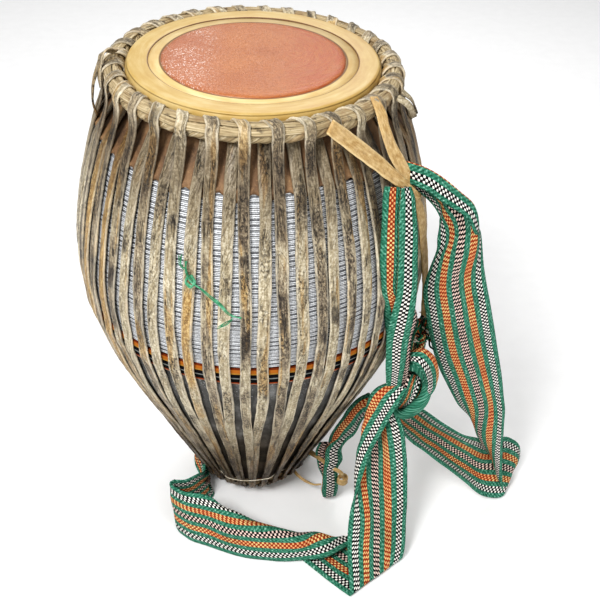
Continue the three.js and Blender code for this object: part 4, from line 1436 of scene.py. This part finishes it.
def make_fringe():
    """The sling's cut end behind the knot, frayed into loose yarns of its own colours."""
    rng = np.random.default_rng(77)
    pile = Pile()
    for k in range(70):
        start = np.array([rng.uniform(156, 178), rng.uniform(-70, -60), rng.uniform(238, 262)])
        way = unit(np.array([rng.uniform(-0.7, 1.0), rng.uniform(-0.9, 0.4), rng.uniform(-0.7, 1.0)]))
        bend = rng.uniform(-5, 5, 3)
        reach = rng.uniform(7, 17)
        points = [start, start + way * reach * 0.4 + bend * 0.5, start + way * reach * 0.8 + bend,
                  start + way * reach * 0.7 + bend * 2]
        tube(pile, np.array(points), rng.uniform(0.55, 0.95) * MM, 400 + k, 6, tone=rng.uniform(0, 1))
    place_piece(pile.make("sling_end_yarns", YARN), "sling_weave")


def make_foot_thread():
    """A pale thread round the cloth above the small hoop; in front it passes over the laces."""
    degrees = np.linspace(-268, 88, 90)
    angles = np.radians(degrees)
    height = (42 - 2.2 * np.sin(6 * angles)) * MM
    off_cloth = np.interp(degrees, [-122, -112, -76, -66], [1.0, 7.0, 7.0, 1.0]) * MM
    points = polar(cover_radius(height) + off_cloth, angles, height) / MM
    pile = Pile()
    tube(pile, points, 0.45 * MM, 71, 6)
    place_piece(pile.make("foot_thread", THREAD), "twine")


TWINE_ROUTE = [(-54, -152, 394), (-54, -155, 388), (-51, -158, 381), (-41, -163, 373),
               (-28, -168, 363), (-18, -171, 354), (-10, -172, 352)]
TWINE_LOW_END = [(-17, -172, 351), (-22, -172, 346), (-28, -171, 342)]
TWINE_HIGH_END = [(-54, -156, 388), (-57, -156, 392), (-58, -154, 402)]
TWINE_KNOT = [(-50, -157, 384), (-47, -160, 380), (-50, -160, 375), (-54, -158, 378), (-52, -157, 384)]


def make_twine():
    """Green plastic twine knotted round a few strands, with frayed ends."""
    pile = Pile()
    rng = np.random.default_rng(5)

    def thread(points, stray, radius, seed):
        shift = rng.uniform(-stray, stray, (len(points), 3))
        tube(pile, np.array(points) + shift, radius, seed)
    for k in range(5):
        thread(TWINE_ROUTE, 1.2, 0.38 * MM, 300 + k)
    for k in range(4):
        thread(TWINE_LOW_END, 1.5, 0.35 * MM, 320 + k)
        thread(TWINE_HIGH_END, 1.5, 0.35 * MM, 330 + k)
        thread(TWINE_KNOT, 1.0, 0.6 * MM, 340 + k)
    place_piece(pile.make("green_twine_knot", PLASTIC), "twine", "green_twine")


make_ribbed_cover()
make_ribbon_band()
make_lower_cover()
make_head_pieces()
make_small_head()
make_skirt()
place_piece(twisted_hoop("large_hoop_twist", HOOP_RADIUS, HOOP_TUBE + 0.7 * MM, HOOP_Z, 4, 15, 21, 3),
            "hoop_rawhide", "large_head_hoop")
place_piece(twisted_hoop("small_hoop_twist", FOOT_RADIUS, FOOT_TUBE - 0.2 * MM, FOOT_Z, 3, 9, 41),
            "hoop_rawhide", "small_head_hoop")
make_lacing()
make_sling()
make_upper_tie()
make_lower_tie()
make_spare_laces()
make_fringe()
make_foot_thread()
make_twine()


for name, material in (("clay_shell", CLAY), ("large_head_lining_ring", MAIN_SKIN)):
    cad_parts[name].data.materials.clear()
    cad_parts[name].data.materials.append(material)
